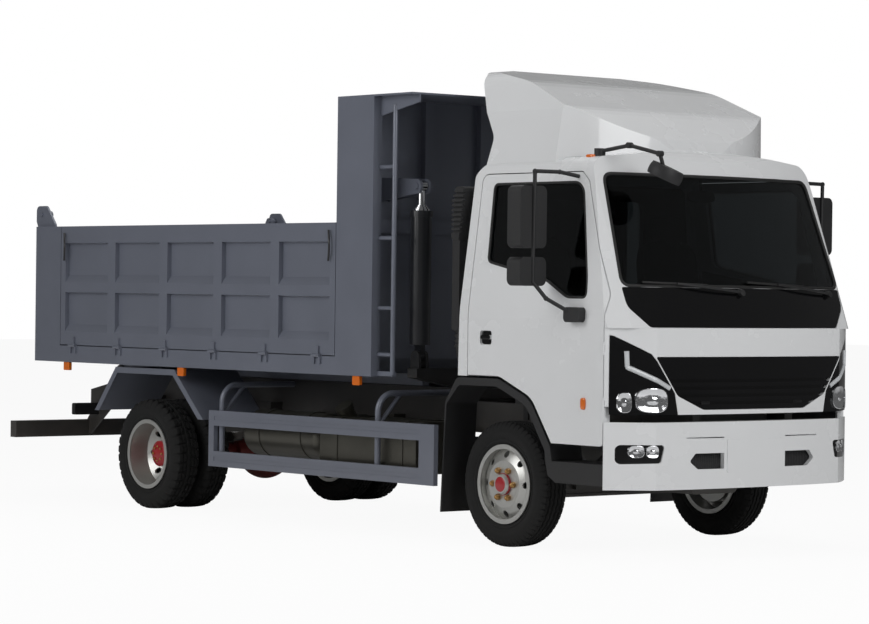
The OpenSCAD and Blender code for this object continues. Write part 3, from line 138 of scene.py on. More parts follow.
SIDES = (("left", 1), ("right", -1))
FRONT_AXLE, REAR_AXLE, WHEEL_UP = 2.175, -1.625, 0.390
FRONT_HALF, REAR_HALF, TWIN_HALF = 0.885, 0.815, 0.1325
TYRE_R, TYRE_HALF, BEAD_R = 0.390, 0.1075, 0.2323
SHOULDER, CROWN_DROP = 0.030, 0.004
TREAD_HALF, TREAD_BAND = 0.094, 0.021
GROOVE_LINES = (-0.047, -0.0165, 0.0165, 0.047)
GROOVE_HALF, GROOVE_RAMP, GROOVE_DEPTH = 0.0042, 0.0030, 0.012
ZIGZAGS, ZIGZAG_WIDTH = 48, 0.006
# columns: count round the tyre, share of the pitch cut, distance from the middle, share of the depth
FRONT_SLOTS = (60, 0.22, 0.064, 0.6)
REAR_SLOTS = (36, 0.26, 0.012, 1.0)
SLOT_RAMP, SLOT_SLANT = 0.16, 0.6


def piece(name, points, body, material, around=False, across=False, sharp=35, extra=()):
    """A mesh from grids of points (rows, columns, 3), carried by a body. Neighbouring points make quads;
    around closes the rows and across the columns. Points that meet are merged, faces turned outwards and
    creases kept sharp. material is its finish."""
    grids = [points] + list(extra)
    corners, faces, offset = [], [], 0
    for grid in grids:
        rows, columns = grid.shape[:2]
        index = np.arange(rows * columns).reshape(rows, columns) + offset
        if around:
            index = np.vstack([index, index[:1]])
        if across:
            index = np.hstack([index, index[:, :1]])
        quads = np.stack([index[:-1, :-1], index[1:, :-1], index[1:, 1:], index[:-1, 1:]],
                         axis=-1).reshape(-1, 4)
        corners.append(grid.reshape(-1, 3))
        faces.append(quads)
        offset += rows * columns
    mesh = bpy.data.meshes.new(name)
    mesh.from_pydata(np.vstack(corners).tolist(), [], np.vstack(faces).tolist())
    work = bmesh.new()
    work.from_mesh(mesh)
    bmesh.ops.remove_doubles(work, verts=work.verts, dist=1e-6)
    bmesh.ops.dissolve_degenerate(work, edges=work.edges, dist=1e-7)
    bmesh.ops.recalc_face_normals(work, faces=work.faces)
    work.to_mesh(mesh)
    work.free()
    mesh.polygons.foreach_set("use_smooth", np.ones(len(mesh.polygons), bool))
    mesh.set_sharp_from_angle(angle=np.radians(sharp))
    made = bpy.data.objects.new(name, mesh)
    bpy.context.scene.collection.objects.link(made)
    mesh.materials.append(material)
    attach(made, body)
    return made


def turned(profile, centre, turns=96, side=1.0):
    """A profile of [radius, distance] turned about the y axis through centre: x = r cos a, z = r sin a, and
    y = side times the distance."""
    angle = np.linspace(0, 2 * np.pi, turns, endpoint=False)[:, None]
    radius, out = np.array(profile).T
    return np.stack([centre[0] + radius * np.cos(angle), centre[1] + side * out + 0 * angle,
                     centre[2] + radius * np.sin(angle)], axis=-1)


def smooth_step(value, edge, soft):
    """0 below the edge and 1 above it, with a straight ramp of width soft between."""
    return np.clip((value - edge) / soft + 0.5, 0, 1)


def tyre_grid(centre, blocks, turns=576):
    """A tyre: its closed section, turned about the axle, with the tread's radius lowered in the grooves. A
    groove is where the distance to its zigzag line is under half its width. Cross slots repeat round it, and
    those of a block tread slant and are staggered by half a pitch."""
    tread = np.linspace(-TYRE_HALF + SHOULDER, TYRE_HALF - SHOULDER, 45)
    crown = TYRE_R - CROWN_DROP * (np.abs(tread) / (TYRE_HALF - SHOULDER)) ** 3
    wall_r = np.array([0, 0.018, 0.030, 0.038, 0.046, 0.054, 0.075, 0.095, 0.100, 0.112, 0.1377]) + BEAD_R
    wall_y = np.array([0.080, 0.084, 0.096, 0.0985, 0.0955, 0.0995, 0.1070, 0.1065, 0.1040, 0.1020, 0.0925])
    section_r = np.concatenate([wall_r, crown, wall_r[::-1]])
    section_y = np.concatenate([-wall_y, tread, wall_y[::-1]])
    angle = np.linspace(0, 2 * np.pi, turns, endpoint=False)[:, None]
    on_tread = (np.abs(section_y) < TREAD_HALF) & (section_r > TYRE_R - TREAD_BAND)
    zigzag = np.abs((angle * ZIGZAGS / np.pi) % 2 - 1) - 0.5
    depth = 0 * angle + 0 * section_y
    for line in GROOVE_LINES:
        gap = np.abs(section_y - line - ZIGZAG_WIDTH * zigzag)
        depth = np.maximum(depth, 1 - smooth_step(gap, GROOVE_HALF, GROOVE_RAMP))
    count, cut, start, deep = REAR_SLOTS if blocks else FRONT_SLOTS
    slant, stagger = (SLOT_SLANT * np.abs(section_y), section_y > 0) if blocks else (0, 0)
    wave = np.abs(((angle + slant) * count / np.pi + stagger) % 2 - 1)
    slots = (1 - smooth_step(wave, cut, SLOT_RAMP)) * (np.abs(section_y) > start) * deep
    depth = np.maximum(depth, slots) * on_tread
    radius = section_r - GROOVE_DEPTH * depth
    return np.stack([centre[0] + radius * np.cos(angle), centre[1] + section_y + 0 * angle,
                     centre[2] + radius * np.sin(angle)], axis=-1)


tyre_rubber = finish("tyre_rubber", (0.006, 0.006, 0.006), 0.90, mottle=0.25, bump=0.35, grain=1400,
                     dust=0.03, dust_top=0.5)
for end, x, half, offsets in (("front", FRONT_AXLE, FRONT_HALF, [0.0]),
                              ("rear", REAR_AXLE, REAR_HALF, [-TWIN_HALF, TWIN_HALF])):
    for name, side in SIDES:
        rings = [tyre_grid((x, side * half + shift, WHEEL_UP), end == "rear") for shift in offsets]
        tread = piece(f"tread_{end}_{name}", rings[0], f"wheel_{end}_{name}", tyre_rubber, around=True,
                      across=True, extra=rings[1:])
        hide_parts(f"tyre_{end}_{name}")

# Wheels: pressed steel discs welded into rolled rims, sprayed silver. Bronze nuts hold them on the hubs,
# whose caps are red castings; the nuts have a hexagon under a domed end.

wheel_silver = finish("wheel_silver", (0.52, 0.52, 0.50), 0.34, metal=0.75, bump=0.08, grain=900, dust=0.12)
dress(wheel_silver, "rim_front_left", "rim_front_right", "rim_rear_left", "rim_rear_right")
nut_bronze = finish("nut_bronze", (0.42, 0.24, 0.09), 0.32, metal=0.9, bump=0.1)
hub_red = finish("hub_red", (0.36, 0.008, 0.014), 0.30, coat=0.4, bump=0.1, grain=500)


def nut(centre, side, across_flats, height):
    """A nut along y: a hexagon, radius = half its width over the cosine of the angle to the nearest flat,
    that turns into a round dome at its outer end."""
    angle = np.linspace(0, 2 * np.pi, 24, endpoint=False)[:, None]
    flat = across_flats / 2 / np.cos((angle + np.pi / 6) % (np.pi / 3) - np.pi / 6)
    step = np.array([0, 0.02, 0.55, 0.62, 0.80, 0.93, 1.0])
    shape = np.array([0, 1.0, 1.0, 0.88, 0.74, 0.45, 0.0])
    radius = np.where(step < 0.6, flat, across_flats / 2) * shape
    return np.stack([centre[0] + radius * np.cos(angle), centre[1] + side * height * step + 0 * angle,
                     centre[2] + radius * np.sin(angle)], axis=-1)


def ring_of(count, radius, centre, turn=0.0):
    """Points evenly round a circle about the y axis."""
    angle = np.linspace(0, 2 * np.pi, count, endpoint=False) + turn
    return np.stack([centre[0] + radius * np.cos(angle), 0 * angle + centre[1],
                     centre[2] + radius * np.sin(angle)], -1)


# columns: piece, end, count, radius of their ring, distance out, turn, width over the flats, height
WHEEL_NUTS = (("nuts", "front", 6, 0.094, 0.092, 0.0, 0.034, 0.034),
              ("nuts", "rear", 6, 0.122, 0.010, 0.5, 0.034, 0.038),
              ("bolts", "rear", 8, 0.052, 0.137, 0.0, 0.016, 0.012))
# columns: end, profile of [radius, distance out]
HUB_CAPS = (("front", [[0.0, 0.127], [0.030, 0.1265], [0.050, 0.1235], [0.058, 0.117], [0.060, 0.110],
                       [0.069, 0.108], [0.069, 0.093]]),
            ("rear", [[0.0, 0.138], [0.066, 0.137], [0.073, 0.134], [0.090, 0.124], [0.092, 0.110],
                      [0.098, 0.030], [0.104, 0.018]]))
for name, side in SIDES:
    hubs = {"front": np.array([FRONT_AXLE, side * FRONT_HALF, WHEEL_UP]),
            "rear": np.array([REAR_AXLE, side * REAR_HALF, WHEEL_UP])}
    for part, end, count, radius, out, turn, flats, height in WHEEL_NUTS:
        places = ring_of(count, radius, hubs[end] + [0, side * out, 0], turn)
        nuts = [nut(place, side, flats, height) for place in places]
        piece(f"{part}_{end}_{name}", nuts[0], f"wheel_{end}_{name}", nut_bronze, around=True,
              extra=nuts[1:])
    for end, profile in HUB_CAPS:
        piece(f"cap_{end}_{name}", turned(profile, hubs[end], side=side), f"wheel_{end}_{name}", hub_red,
              around=True)

# Tanks: an aluminium fuel tank and a steel air tank on the right-hand rail, held by steel straps, under
# a dark olive film of paint and road dirt.

tank_metal = finish("tank_metal", (0.085, 0.083, 0.070), 0.38, metal=0.75, bump=0.15, grain=350, dust=0.35)
dress(tank_metal, "fuel_tank", "air_tank")

# Side guards, rear mudguards and the whole bed: folded and welded sheet steel, sprayed in dark blue-grey
# two-pack paint with a slight orange-peel skin.

body_grey = finish("body_grey", (0.155, 0.168, 0.208), 0.36, metal=0.15, coat=0.25, mottle=0.08, bump=0.10,
                   grain=320, dust=0.10)
dress(body_grey, "side_guards", "rear_mudguards", "bed_floor", "headboard", "rear_posts", "tailgate",
      "drop_side_left", "drop_side_right")

# Black mouldings: front mudguards and steps, air intake, mirrors and dashboard, all injection-moulded
# with a fine leather-like grain.

black_moulding = finish("black_moulding", (0.012, 0.012, 0.013), 0.55, mottle=0.15, bump=0.35, grain=1100,
                        dust=0.10, dust_top=0.6)
dress(black_moulding, "front_mudguards", "air_intake", "mirror_left", "mirror_right", "front_mirror",
      "dashboard")

# Cab: a spot-welded steel shell and doors in white gloss enamel under clear coat, with a deflector and a
# bumper moulded and painted to match. The cowl panel under the screen and the grille are gloss black
# mouldings.

cab_white = finish("cab_white", (0.80, 0.81, 0.82), 0.26, coat=0.6, mottle=0.015, bump=0.03, grain=240,
                   dust=0.04, dust_top=0.7)
dress(cab_white, "cab_shell", "door_left", "door_right", "roof_deflector", "bumper")
gloss_black = finish("gloss_black", (0.004, 0.004, 0.0045), 0.10, mottle=0.1, bump=0.02)
dress(gloss_black, "cowl_panel", "grille")

# Glass: a laminated windscreen and toughened door and rear panes, bent to the cab's curves, darkly tinted
# and bonded or sealed into their openings.

SMEAR_SCALE, SMEAR_ROUGHNESS = 5.0, 0.02


def tinted_glass(name, colour, rough, ior):
    """Glass that light passes through with a tint; broad noise adds a faint smear to its roughness."""
    material = bpy.data.materials.new(name)
    material.use_nodes = True
    tree = material.node_tree
    shader = tree.nodes["Principled BSDF"]
    shader.inputs["Base Color"].default_value = list(colour) + [1]
    shader.inputs["Transmission Weight"].default_value = 1.0
    shader.inputs["IOR"].default_value = ior
    place = tree.nodes.new("ShaderNodeTexCoord").outputs["Object"]
    smear = tree.nodes.new("ShaderNodeTexNoise")
    smear.inputs["Scale"].default_value = SMEAR_SCALE
    tree.links.new(place, smear.inputs["Vector"])
    spread = tree.nodes.new("ShaderNodeMapRange")
    spread.inputs["To Min"].default_value = rough
    spread.inputs["To Max"].default_value = rough + SMEAR_ROUGHNESS
    tree.links.new(smear.outputs["Fac"], spread.inputs["Value"])
    tree.links.new(spread.outputs["Result"], shader.inputs["Roughness"])
    return material


cab_tint = tinted_glass("cab_tint", (0.07, 0.078, 0.082), 0.0, 1.35)
dress(cab_tint, "cab_glass", "door_glass_left", "door_glass_right")

# Marker lamps: amber acrylic lenses, each moulded in one piece and fixed under the bed's side, where they
# show its length to other drivers.

lens_amber = finish("lens_amber", (0.75, 0.16, 0.01), 0.22, coat=0.6, bump=0.2, grain=150)
dress(lens_amber, "marker_lamps")

# Hoist: two telescopic cylinders of cold-drawn steel tube between the cab and the bed. The barrels are
# painted black, and the stages that slide out of them are ground and chromed.

hoist_black = finish("hoist_black", (0.014, 0.015, 0.018), 0.30, coat=0.3, bump=0.06, dust=0.1)
dress(hoist_black, "hoist_barrels")
hoist_chrome = finish("hoist_chrome", (0.70, 0.71, 0.73), 0.10, metal=1.0, mottle=0.03, bump=0.02)
dress(hoist_chrome, "hoist_stage_1", "hoist_stage_2", "hoist_stage_3", "hoist_rods")

# Cab lining: a vinyl-faced back panel round the rear window, a moulded headliner under the roof and a card
# on each door, clipped a few millimetres off the sheet metal. The panels are real lining, and their
# near-black colour is painted shade that darkens the inside of the cab.

vinyl_and_painted_shade = finish("vinyl_and_painted_shade", (0.022, 0.022, 0.024), 0.75, mottle=0.15, bump=0.4, grain=800)
BACK_WALL = FRONT_AXLE - 0.308
ROOF_BACK, ROOF_BACK_HEIGHT, ROOF_RISE = -0.27, 2.396, 0.0854
ROOF_CROWN, ROOF_FALL, ROOF_DEPTH = 2.482, 0.095, 0.056
WAIST, DRAW_IN, CARD_HALF = 1.45, 0.1323, 0.990
PANEL_THICK, CARD_THICK = 0.004, 0.003


def slab(front, offset, ends=True):
    """A closed sheet: the front grid and its copy moved by offset, joined along their edges. ends pinches the
    first and last rows together, and a sheet that runs round needs none."""
    back = front + np.array(offset)
    if ends:
        first, last = 0.5 * (front[:1] + back[:1]), 0.5 * (front[-1:] + back[-1:])
        front, back = (np.concatenate([first, side, last]) for side in (front, back))
    return np.concatenate([front, back[:, ::-1]], axis=1)


def ring(outer, inner, depth):
    """A flat frame at x = depth between two loops of [y, z], both run through at equal shares."""
    share = np.linspace(0, 1, 5)[None, :, None]
    flat = outer[:, None, :] * (1 - share) + inner[:, None, :] * share
    return np.concatenate([np.full(flat.shape[:2] + (1,), depth), flat], axis=-1)


def loop(corners, radius, steps=6):
    """A closed outline with rounded corners: each is a parabola between the points at that distance."""
    corner = np.array(corners, float)
    before = np.roll(corner, 1, axis=0) - corner
    after = np.roll(corner, -1, axis=0) - corner
    start = corner + before * (radius / np.linalg.norm(before, axis=1))[:, None]
    end = corner + after * (radius / np.linalg.norm(after, axis=1))[:, None]
    t = np.linspace(0, 1, steps)[None, :, None]
    bend = (1 - t) ** 2 * start[:, None] + 2 * t * (1 - t) * corner[:, None] + t ** 2 * end[:, None]
    return bend.reshape(-1, corner.shape[1])


back_panel = ring(loop([(-0.93, 1.12), (0.93, 1.12), (0.84, 2.27), (-0.84, 2.27)], 0.05),
                  loop([(-0.47, 1.63), (0.47, 1.63), (0.47, 2.17), (-0.47, 2.17)], 0.05), BACK_WALL)
piece("back_panel", slab(back_panel, (-PANEL_THICK, 0, 0), ends=False), "cab", vinyl_and_painted_shade,
      around=True, across=True)
along, over = np.meshgrid(np.linspace(ROOF_BACK, 0.59, 24), np.linspace(-0.85, 0.85, 40), indexing="ij")
under_roof = np.minimum(ROOF_BACK_HEIGHT + (along - ROOF_BACK) * ROOF_RISE,
                        ROOF_CROWN - ROOF_FALL * np.abs(over)) - ROOF_DEPTH
headliner = slab(np.stack([FRONT_AXLE + along, over, under_roof], -1), (0, 0, PANEL_THICK))
piece("headliner", headliner, "cab", vinyl_and_painted_shade, across=True)
along, share = np.meshgrid(np.linspace(-0.25, 0.93, 40), np.linspace(0, 1, 16), indexing="ij")
low = np.interp(along, [-0.25, 0.05, 0.33, 0.53, 0.93], [1.09, 1.09, 0.96, 0.70, 0.70])
high = np.interp(along, [-0.25, 0.40, 0.60, 0.93], [1.73, 1.63, 1.52, 1.42])
up = low + share * (high - low)
inside = CARD_HALF - DRAW_IN * np.maximum(0, up - WAIST)
for name, side in SIDES:
    card = slab(np.stack([FRONT_AXLE + along, side * inside, up], -1), (0, side * CARD_THICK, 0))
    piece(f"door_card_{name}", card, f"door_{name}", vinyl_and_painted_shade, across=True)

# Seats: driver's, middle and passenger's seat, each a foam cushion, back and head restraint in black woven
# cloth on a pressed steel box. The cloth is sewn into three channels, and the foam crowns between them.

seat_cloth = finish("seat_cloth", (0.020, 0.020, 0.022), 0.88, mottle=0.2, bump=0.6, grain=650)
FULLNESS, CROWN, SEAM_WIDTH, SEAM_DEPTH = 0.92, 0.10, 0.045, 0.10
# columns: seat, its middle across the cab, its width
SEATS = (("driver", 0.48, 0.52), ("middle", -0.15, 0.42), ("passenger", -0.62, 0.48))


def signed_power(value, power):
    """The power of the size, with the sign kept."""
    return np.sign(value) * np.abs(value) ** power


def cushion(centre, half, lean, power=0.38, seams=(-0.42, 0.42)):
    """A crowned closed form: a superellipsoid, each axis a power of a sine or cosine, leaned about y, whose
    surface sinks along the sewn channels, at those shares of its width."""
    turn = np.linspace(-np.pi, np.pi, 96, endpoint=False)[:, None]
    tilt = np.linspace(-np.pi / 2, np.pi / 2, 49)[None, :]
    girth = signed_power(np.cos(tilt), power)
    shape = np.stack([girth * signed_power(np.cos(turn), power), girth * signed_power(np.sin(turn), power),
                      signed_power(np.sin(tilt), power) + 0 * turn], -1)
    sink = 0 * shape[..., 1]
    for seam in seams:
        sink = sink + np.exp(-((shape[..., 1] - seam) / SEAM_WIDTH) ** 2)
    crown = 1 + CROWN * (1 - shape[..., 1] ** 2) - SEAM_DEPTH * sink
    x, z = half[0] * shape[..., 0] * crown * FULLNESS, half[2] * shape[..., 2] * crown * FULLNESS
    c, s = np.cos(lean), np.sin(lean)
    return np.stack([centre[0] + x * c + z * s, centre[1] + half[1] * shape[..., 1],
                     centre[2] - x * s + z * c], -1)


seat_steel = finish("seat_steel", (0.02, 0.02, 0.022), 0.5, bump=0.2)
for name, y, width in SEATS:
    # each pad: its centre, half sizes and lean
    pads = {"cushion": cushion((FRONT_AXLE + 0.170, y, 1.276), (0.230, width / 2, 0.064), 0.0),
            "back": cushion((FRONT_AXLE - 0.068, y, 1.590), (0.055, width / 2 - 0.01, 0.330), np.radians(-8)),
            "headrest": cushion((FRONT_AXLE - 0.110, y, 1.995), (0.040, 0.13, 0.085), 0.0, seams=())}
    for part, grid in pads.items():
        pad_piece = piece(f"{part}_{name}", grid, "cab", seat_cloth, around=True, sharp=80)
        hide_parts("seats")
    box = cushion((FRONT_AXLE + 0.150, y, 1.153), (0.150, width / 2 - 0.04, 0.058), 0.0, power=0.12, seams=())
    piece(f"seat_box_{name}", box, "cab", seat_steel, around=True)

# Headlamps and fog lamps: moulded gloss black housings. Each headlamp holds a vacuum-coated reflector bowl,
# a smaller turn-signal bowl and a bent strip of frosted acrylic, and each fog lamp holds two bowls.

FACE_NOSE, BUMPER_NOSE = 1.198, 1.200
FACE_ARC, CORNER_ARC, CORNER_CENTRE = 6.170, 1.574, 1.414
# columns: distance from the middle, height, half width, half height, depth
LAMP_BOWLS = ((0.806, 0.944, 0.094, 0.072, 0.012), (0.950, 0.930, 0.034, 0.060, 0.010))
FOG_BOWLS = ((0.885, 0.640, 0.040, 0.036, 0.007), (0.800, 0.640, 0.036, 0.036, 0.007))
FOG_POCKET = 0.008
STRIP_Y, STRIP_Z = (0.936, 0.932, 0.690), (1.235, 1.140, 1.016)
STRIP_R, STRIP_SUNK, STRIP_BEND = 0.016, 0.006, 0.25


def front_skin(y, nose=FACE_NOSE):
    """The cab's front at y: the lesser x of a wide arc for the face and a tight one for the corners."""
    return FRONT_AXLE + np.minimum(nose - FACE_ARC + np.sqrt(FACE_ARC ** 2 - y ** 2),
                                   nose - CORNER_CENTRE + np.sqrt(CORNER_ARC ** 2 - y ** 2))


def on_face(y, z, out):
    """A point on the cab's front: x is the skin's, plus the height off it."""
    return np.stack([front_skin(y) + out, y, z + 0 * out], -1)


def on_bumper(y, z, out):
    """A point on the fog lamp's lens: x is the bumper's skin, less the pocket, plus the height off it."""
    return np.stack([front_skin(y, BUMPER_NOSE) - FOG_POCKET + out, y, z + 0 * out], -1)


def stepped(u0, v0, half_u, half_v, share, height, place, power, turns):
    """Rings of a superellipse round u0, v0: each axis is its half size times a power of a cosine or sine.
    share scales each ring, height lifts it off the skin, and place turns u, v and height into a point."""
    turn = np.linspace(0, 2 * np.pi, turns, endpoint=False)[:, None]
    u = u0 + half_u * share * signed_power(np.cos(turn), power)
    v = v0 + half_v * share * signed_power(np.sin(turn), power)
    return place(u, v, height + 0 * turn)


def bowl(u0, v0, half_u, half_v, rise, place, power=0.7):
    """A lamp's reflector: rings that rise to a rim, sink towards the middle and carry a round bulb there,
    closed behind."""
    share = np.array([0.0, 1.0, 1.0, 0.96, 0.91, 0.62, 0.36, 0.30, 0.26, 0.14, 0.0])
    height = np.array([-0.6, -0.6, 0.9, 1.0, 0.9, 0.35, 0.25, 0.30, 0.70, 0.95, 1.0]) * rise
    return stepped(u0, v0, half_u, half_v, share, height, place, power, turns=48)


def tube(points, radius, sides=10, closed=False):
    """A round tube along a path: circles square to the path's direction, closed at both ends or in a loop."""
    path = np.array(points, float)
    slanted = [0.213, 0.371, 0.904]  # a direction that no path here runs along
    ahead = np.roll(path, -1, axis=0) - np.roll(path, 1, axis=0) if closed else np.gradient(path, axis=0)
    ahead /= np.linalg.norm(ahead, axis=1)[:, None]
    across = np.cross(ahead, slanted)
    across /= np.linalg.norm(across, axis=1)[:, None]
    other = np.cross(ahead, across)
    width = np.full(len(path), radius)
    if not closed:
        path, across, other = (np.vstack([a[:1], a, a[-1:]]) for a in (path, across, other))
        width = np.concatenate([[0], width, [0]])
    turn = np.linspace(0, 2 * np.pi, sides, endpoint=False)
    rim = np.cos(turn)[None, :, None] * across[:, None] + np.sin(turn)[None, :, None] * other[:, None]
    return path[:, None] + width[:, None, None] * rim


lamp_chrome = finish("lamp_chrome", (0.80, 0.81, 0.83), 0.10, metal=1.0, mottle=0.2, bump=0.9, grain=55)
lamp_frost = finish("lamp_frost", (0.62, 0.64, 0.66), 0.35, coat=0.5, bump=0.6, grain=160)
dress(gloss_black, "headlamps", "fog_lamps")
for name, side in SIDES:
    bowls = [bowl(side * y, *sizes, on_face) for y, *sizes in LAMP_BOWLS]
    piece(f"lamp_bowls_{name}", bowls[0], "cab", lamp_chrome, around=True, extra=bowls[1:])
    fogs = [bowl(side * y, *sizes, on_bumper) for y, *sizes in FOG_BOWLS]
    piece(f"fog_bowls_{name}", fogs[0], "chassis", lamp_chrome, around=True, extra=fogs[1:])
    bend = np.interp(np.linspace(0, 1, 40), [0, STRIP_BEND, 1], [0, 1, 2])
    y = side * np.interp(bend, [0, 1, 2], STRIP_Y)
    z = np.interp(bend, [0, 1, 2], STRIP_Z)
    strip = tube(on_face(y, z, -STRIP_SUNK), STRIP_R)
    piece(f"light_strip_{name}", strip, "cab", lamp_frost, across=True)

# Windscreen and window seals, and the wipers: extruded black rubber, and pressed steel arms with a hinged
# blade, both parked along the foot of the screen.

SCREEN_FOOT_X, SCREEN_FOOT_Z, SCREEN_LEAN = 1.190, 1.371, np.radians(20.7)
SCREEN_ARC, SCREEN_END_ARC, SCREEN_END_CENTRE = 4.300, 1.557, 1.349
SCREEN_CORNERS = ((-0.928, 1.622), (0.928, 1.622), (0.868, 2.296), (-0.868, 2.296))
WINDOW_CORNERS = ((-0.152, 1.762), (0.400, 1.655), (0.610, 1.548), (0.782, 1.548), (0.774, 1.660),
                  (0.660, 2.198), (0.603, 2.244), (-0.170, 2.244))
CAB_HALF = 1.040
SCREEN_SEAL_R, SCREEN_SEAL_SUNK = 0.011, 0.004
WINDOW_SEAL_R, WINDOW_SEAL_SUNK = 0.009, 0.005
BLADE_R, BLADE_OFF = 0.007, 0.010
ARM_R, ARM_OFF, ARM_BOW = 0.008, 0.022, 0.014
BOSS_R, BOSS_RISE = 0.022, 0.026
# columns: side, the blade's two ends and the arm's pivot, each as y and height
WIPERS = (("right", (-0.792, 1.645), (-0.319, 1.632), (-0.056, 1.590)),
          ("left", (0.015, 1.652), (0.542, 1.632), (0.800, 1.588)))


def screen_skin(y, z):
    """The windscreen's outside at y and z: a plane that leans back, bowed by two arcs across."""
    bow = np.minimum(np.sqrt(SCREEN_ARC ** 2 - y ** 2) - SCREEN_ARC,
                     np.sqrt(SCREEN_END_ARC ** 2 - y ** 2) - SCREEN_END_CENTRE)
    plane = FRONT_AXLE + SCREEN_FOOT_X - (z - SCREEN_FOOT_Z) * np.tan(SCREEN_LEAN)
    return plane + bow / np.cos(SCREEN_LEAN)


def on_screen(y, z, out):
    """A point on the windscreen: x is the skin's, plus the height off it."""
    return np.stack([screen_skin(y, z) + out, y, z + 0 * out], -1)


def side_skin(z):
    """Half width of the cab at height z: upright to the waist, then drawn in towards the roof."""
    return CAB_HALF - DRAW_IN * np.maximum(0, z - WAIST)


def on_door(side, sunk=0.0):
    """Gives the place for points on one door: y is the cab's half width, plus the height off it, less what
    is sunk."""
    def place(x, z, out):
        return np.stack([FRONT_AXLE + x, side * (side_skin(z) + (out - sunk)), z + 0 * out], -1)
    return place


def pad(u0, v0, half_u, half_v, rise, place, power=0.5):
    """A raised rounded pad: rings that step up from the skin and close at the middle, in front and behind."""
    share = np.array([0.0, 1.0, 1.0, 0.96, 0.88, 0.6, 0.3, 0.0])
    height = np.array([-0.6, -0.6, 0.5, 0.9, 1.0, 1.05, 1.08, 1.1]) * rise
    return stepped(u0, v0, half_u, half_v, share, height, place, power, turns=40)


seal_rubber = finish("seal_rubber", (0.010, 0.010, 0.010), 0.6, mottle=0.1, bump=0.2)
y, z = loop(SCREEN_CORNERS, 0.06, 10).T
dense = np.linspace(0, len(y), 240, endpoint=False)
y, z = (np.interp(dense, np.arange(len(v) + 1), np.append(v, v[0])) for v in (y, z))
seal = tube(on_screen(y, z, -SCREEN_SEAL_SUNK), SCREEN_SEAL_R, closed=True)
piece("screen_seal", seal, "cab", seal_rubber, around=True, across=True)
x, z = loop(WINDOW_CORNERS, 0.035, 7).T
for name, side in SIDES:
    seal = tube(on_door(side, WINDOW_SEAL_SUNK)(x, z, 0.0), WINDOW_SEAL_R, closed=True)
    piece(f"window_seal_{name}", seal, f"door_{name}", seal_rubber, around=True, across=True)
t = np.linspace(0, 1, 24)
for name, start, end, pivot in WIPERS:
    y, z = start[0] + t * (end[0] - start[0]), start[1] + t * (end[1] - start[1])
    blade = tube(on_screen(y, z, BLADE_OFF), BLADE_R)
    middle = (0.5 * (start[0] + end[0]), 0.5 * (start[1] + end[1]))
    y, z = middle[0] + t * (pivot[0] - middle[0]), middle[1] + t * (pivot[1] - middle[1])
    arm = tube(np.stack([screen_skin(y, z) + ARM_OFF + ARM_BOW * np.sin(np.pi * t), y, z], -1), ARM_R)
    boss = pad(*pivot, BOSS_R, BOSS_R, BOSS_RISE, on_screen, 1.0)
    piece(f"wiper_blade_{name}", blade, "cab", seal_rubber, across=True)
    piece(f"wiper_arm_{name}", arm, "cab", black_moulding, across=True)
    piece(f"wiper_boss_{name}", boss, "cab", black_moulding, around=True)

# Door fittings: a black pull in a cup, an amber repeater lamp and silvered mirror glasses; on the roof's
# corners a small marker lamp, and inside the screen the rear-view mirror on a stalk from the header.

CUP_DEPTH, MIRROR_BACK, GLASS_THICK = 0.0155, 0.430, 0.002
# columns: along the door, height, half length, half height, rise
HANDLE_CUP = (-0.117, 1.292, 0.053, 0.042, 0.002)
HANDLE_PULL = (-0.117, 1.295, 0.047, 0.014, 0.006)
REPEATER = (0.786, 0.916, 0.019, 0.036, 0.012)
# columns: distance from the middle, height, half width, half height
MIRROR_GLASSES = ((1.245, 2.027, 0.092, 0.170), (1.245, 1.7005, 0.092, 0.074))
ROOF_MARKER_X, ROOF_MARKER_Y, ROOF_MARKER_Z = 0.60, 0.835, 2.402
INNER_MIRROR_X, INNER_MIRROR_Y, INNER_MIRROR_Z = 0.800, -0.10, 2.175
STALK_R, STALK_FOOT, STALK_LENGTH, STALK_LEAN = 0.008, 2.185, 0.150, 0.014


def behind_mirror(y, z, out):
    """A point on the back of a mirror's housing: x is that face's, less the height off it."""
    return np.stack([FRONT_AXLE + MIRROR_BACK - out, y, z + 0 * out], -1)


mirror_silver = finish("mirror_silver", (0.75, 0.77, 0.78), 0.05, metal=1.0, mottle=0.02, bump=0.0)
for name, side in SIDES:
    cup = pad(*HANDLE_CUP, on_door(side, CUP_DEPTH), 0.4)
    pull = pad(*HANDLE_PULL, on_door(side), 0.4)
    piece(f"handle_{name}", cup, f"door_{name}", gloss_black, around=True, extra=[pull])
    lamp = pad(*REPEATER, on_door(side), 0.6)
    piece(f"repeater_{name}", lamp, f"door_{name}", lens_amber, around=True)
    glasses = [pad(side * y, *sizes, GLASS_THICK, behind_mirror, 0.3) for y, *sizes in MIRROR_GLASSES]
    piece(f"mirror_glass_{name}", glasses[0], f"door_{name}", mirror_silver, around=True, extra=glasses[1:])
    marker = cushion((FRONT_AXLE + ROOF_MARKER_X, side * ROOF_MARKER_Y, ROOF_MARKER_Z),
                     (0.036, 0.020, 0.014), 0.0, power=0.6, seams=())
    piece(f"roof_marker_{name}", marker, "cab", lens_amber, around=True, sharp=80)
inner_mirror = cushion((FRONT_AXLE + INNER_MIRROR_X, INNER_MIRROR_Y, INNER_MIRROR_Z),
                       (0.014, 0.115, 0.036), np.radians(-12), power=0.5, seams=())
piece("inner_mirror", inner_mirror, "cab", vinyl_and_painted_shade, around=True, sharp=80)
rise = np.linspace(0, 1, 12)
stalk = tube(np.stack([FRONT_AXLE + INNER_MIRROR_X - STALK_LEAN * rise, INNER_MIRROR_Y + 0 * rise,
                       STALK_FOOT + STALK_LENGTH * rise], -1), STALK_R)
piece("mirror_stalk", stalk, "cab", vinyl_and_painted_shade, across=True)

# Grille backing: black plastic sheet, cut to size and clipped behind the slats. It closes them off from the
# room that the cab's tilt pivots need.

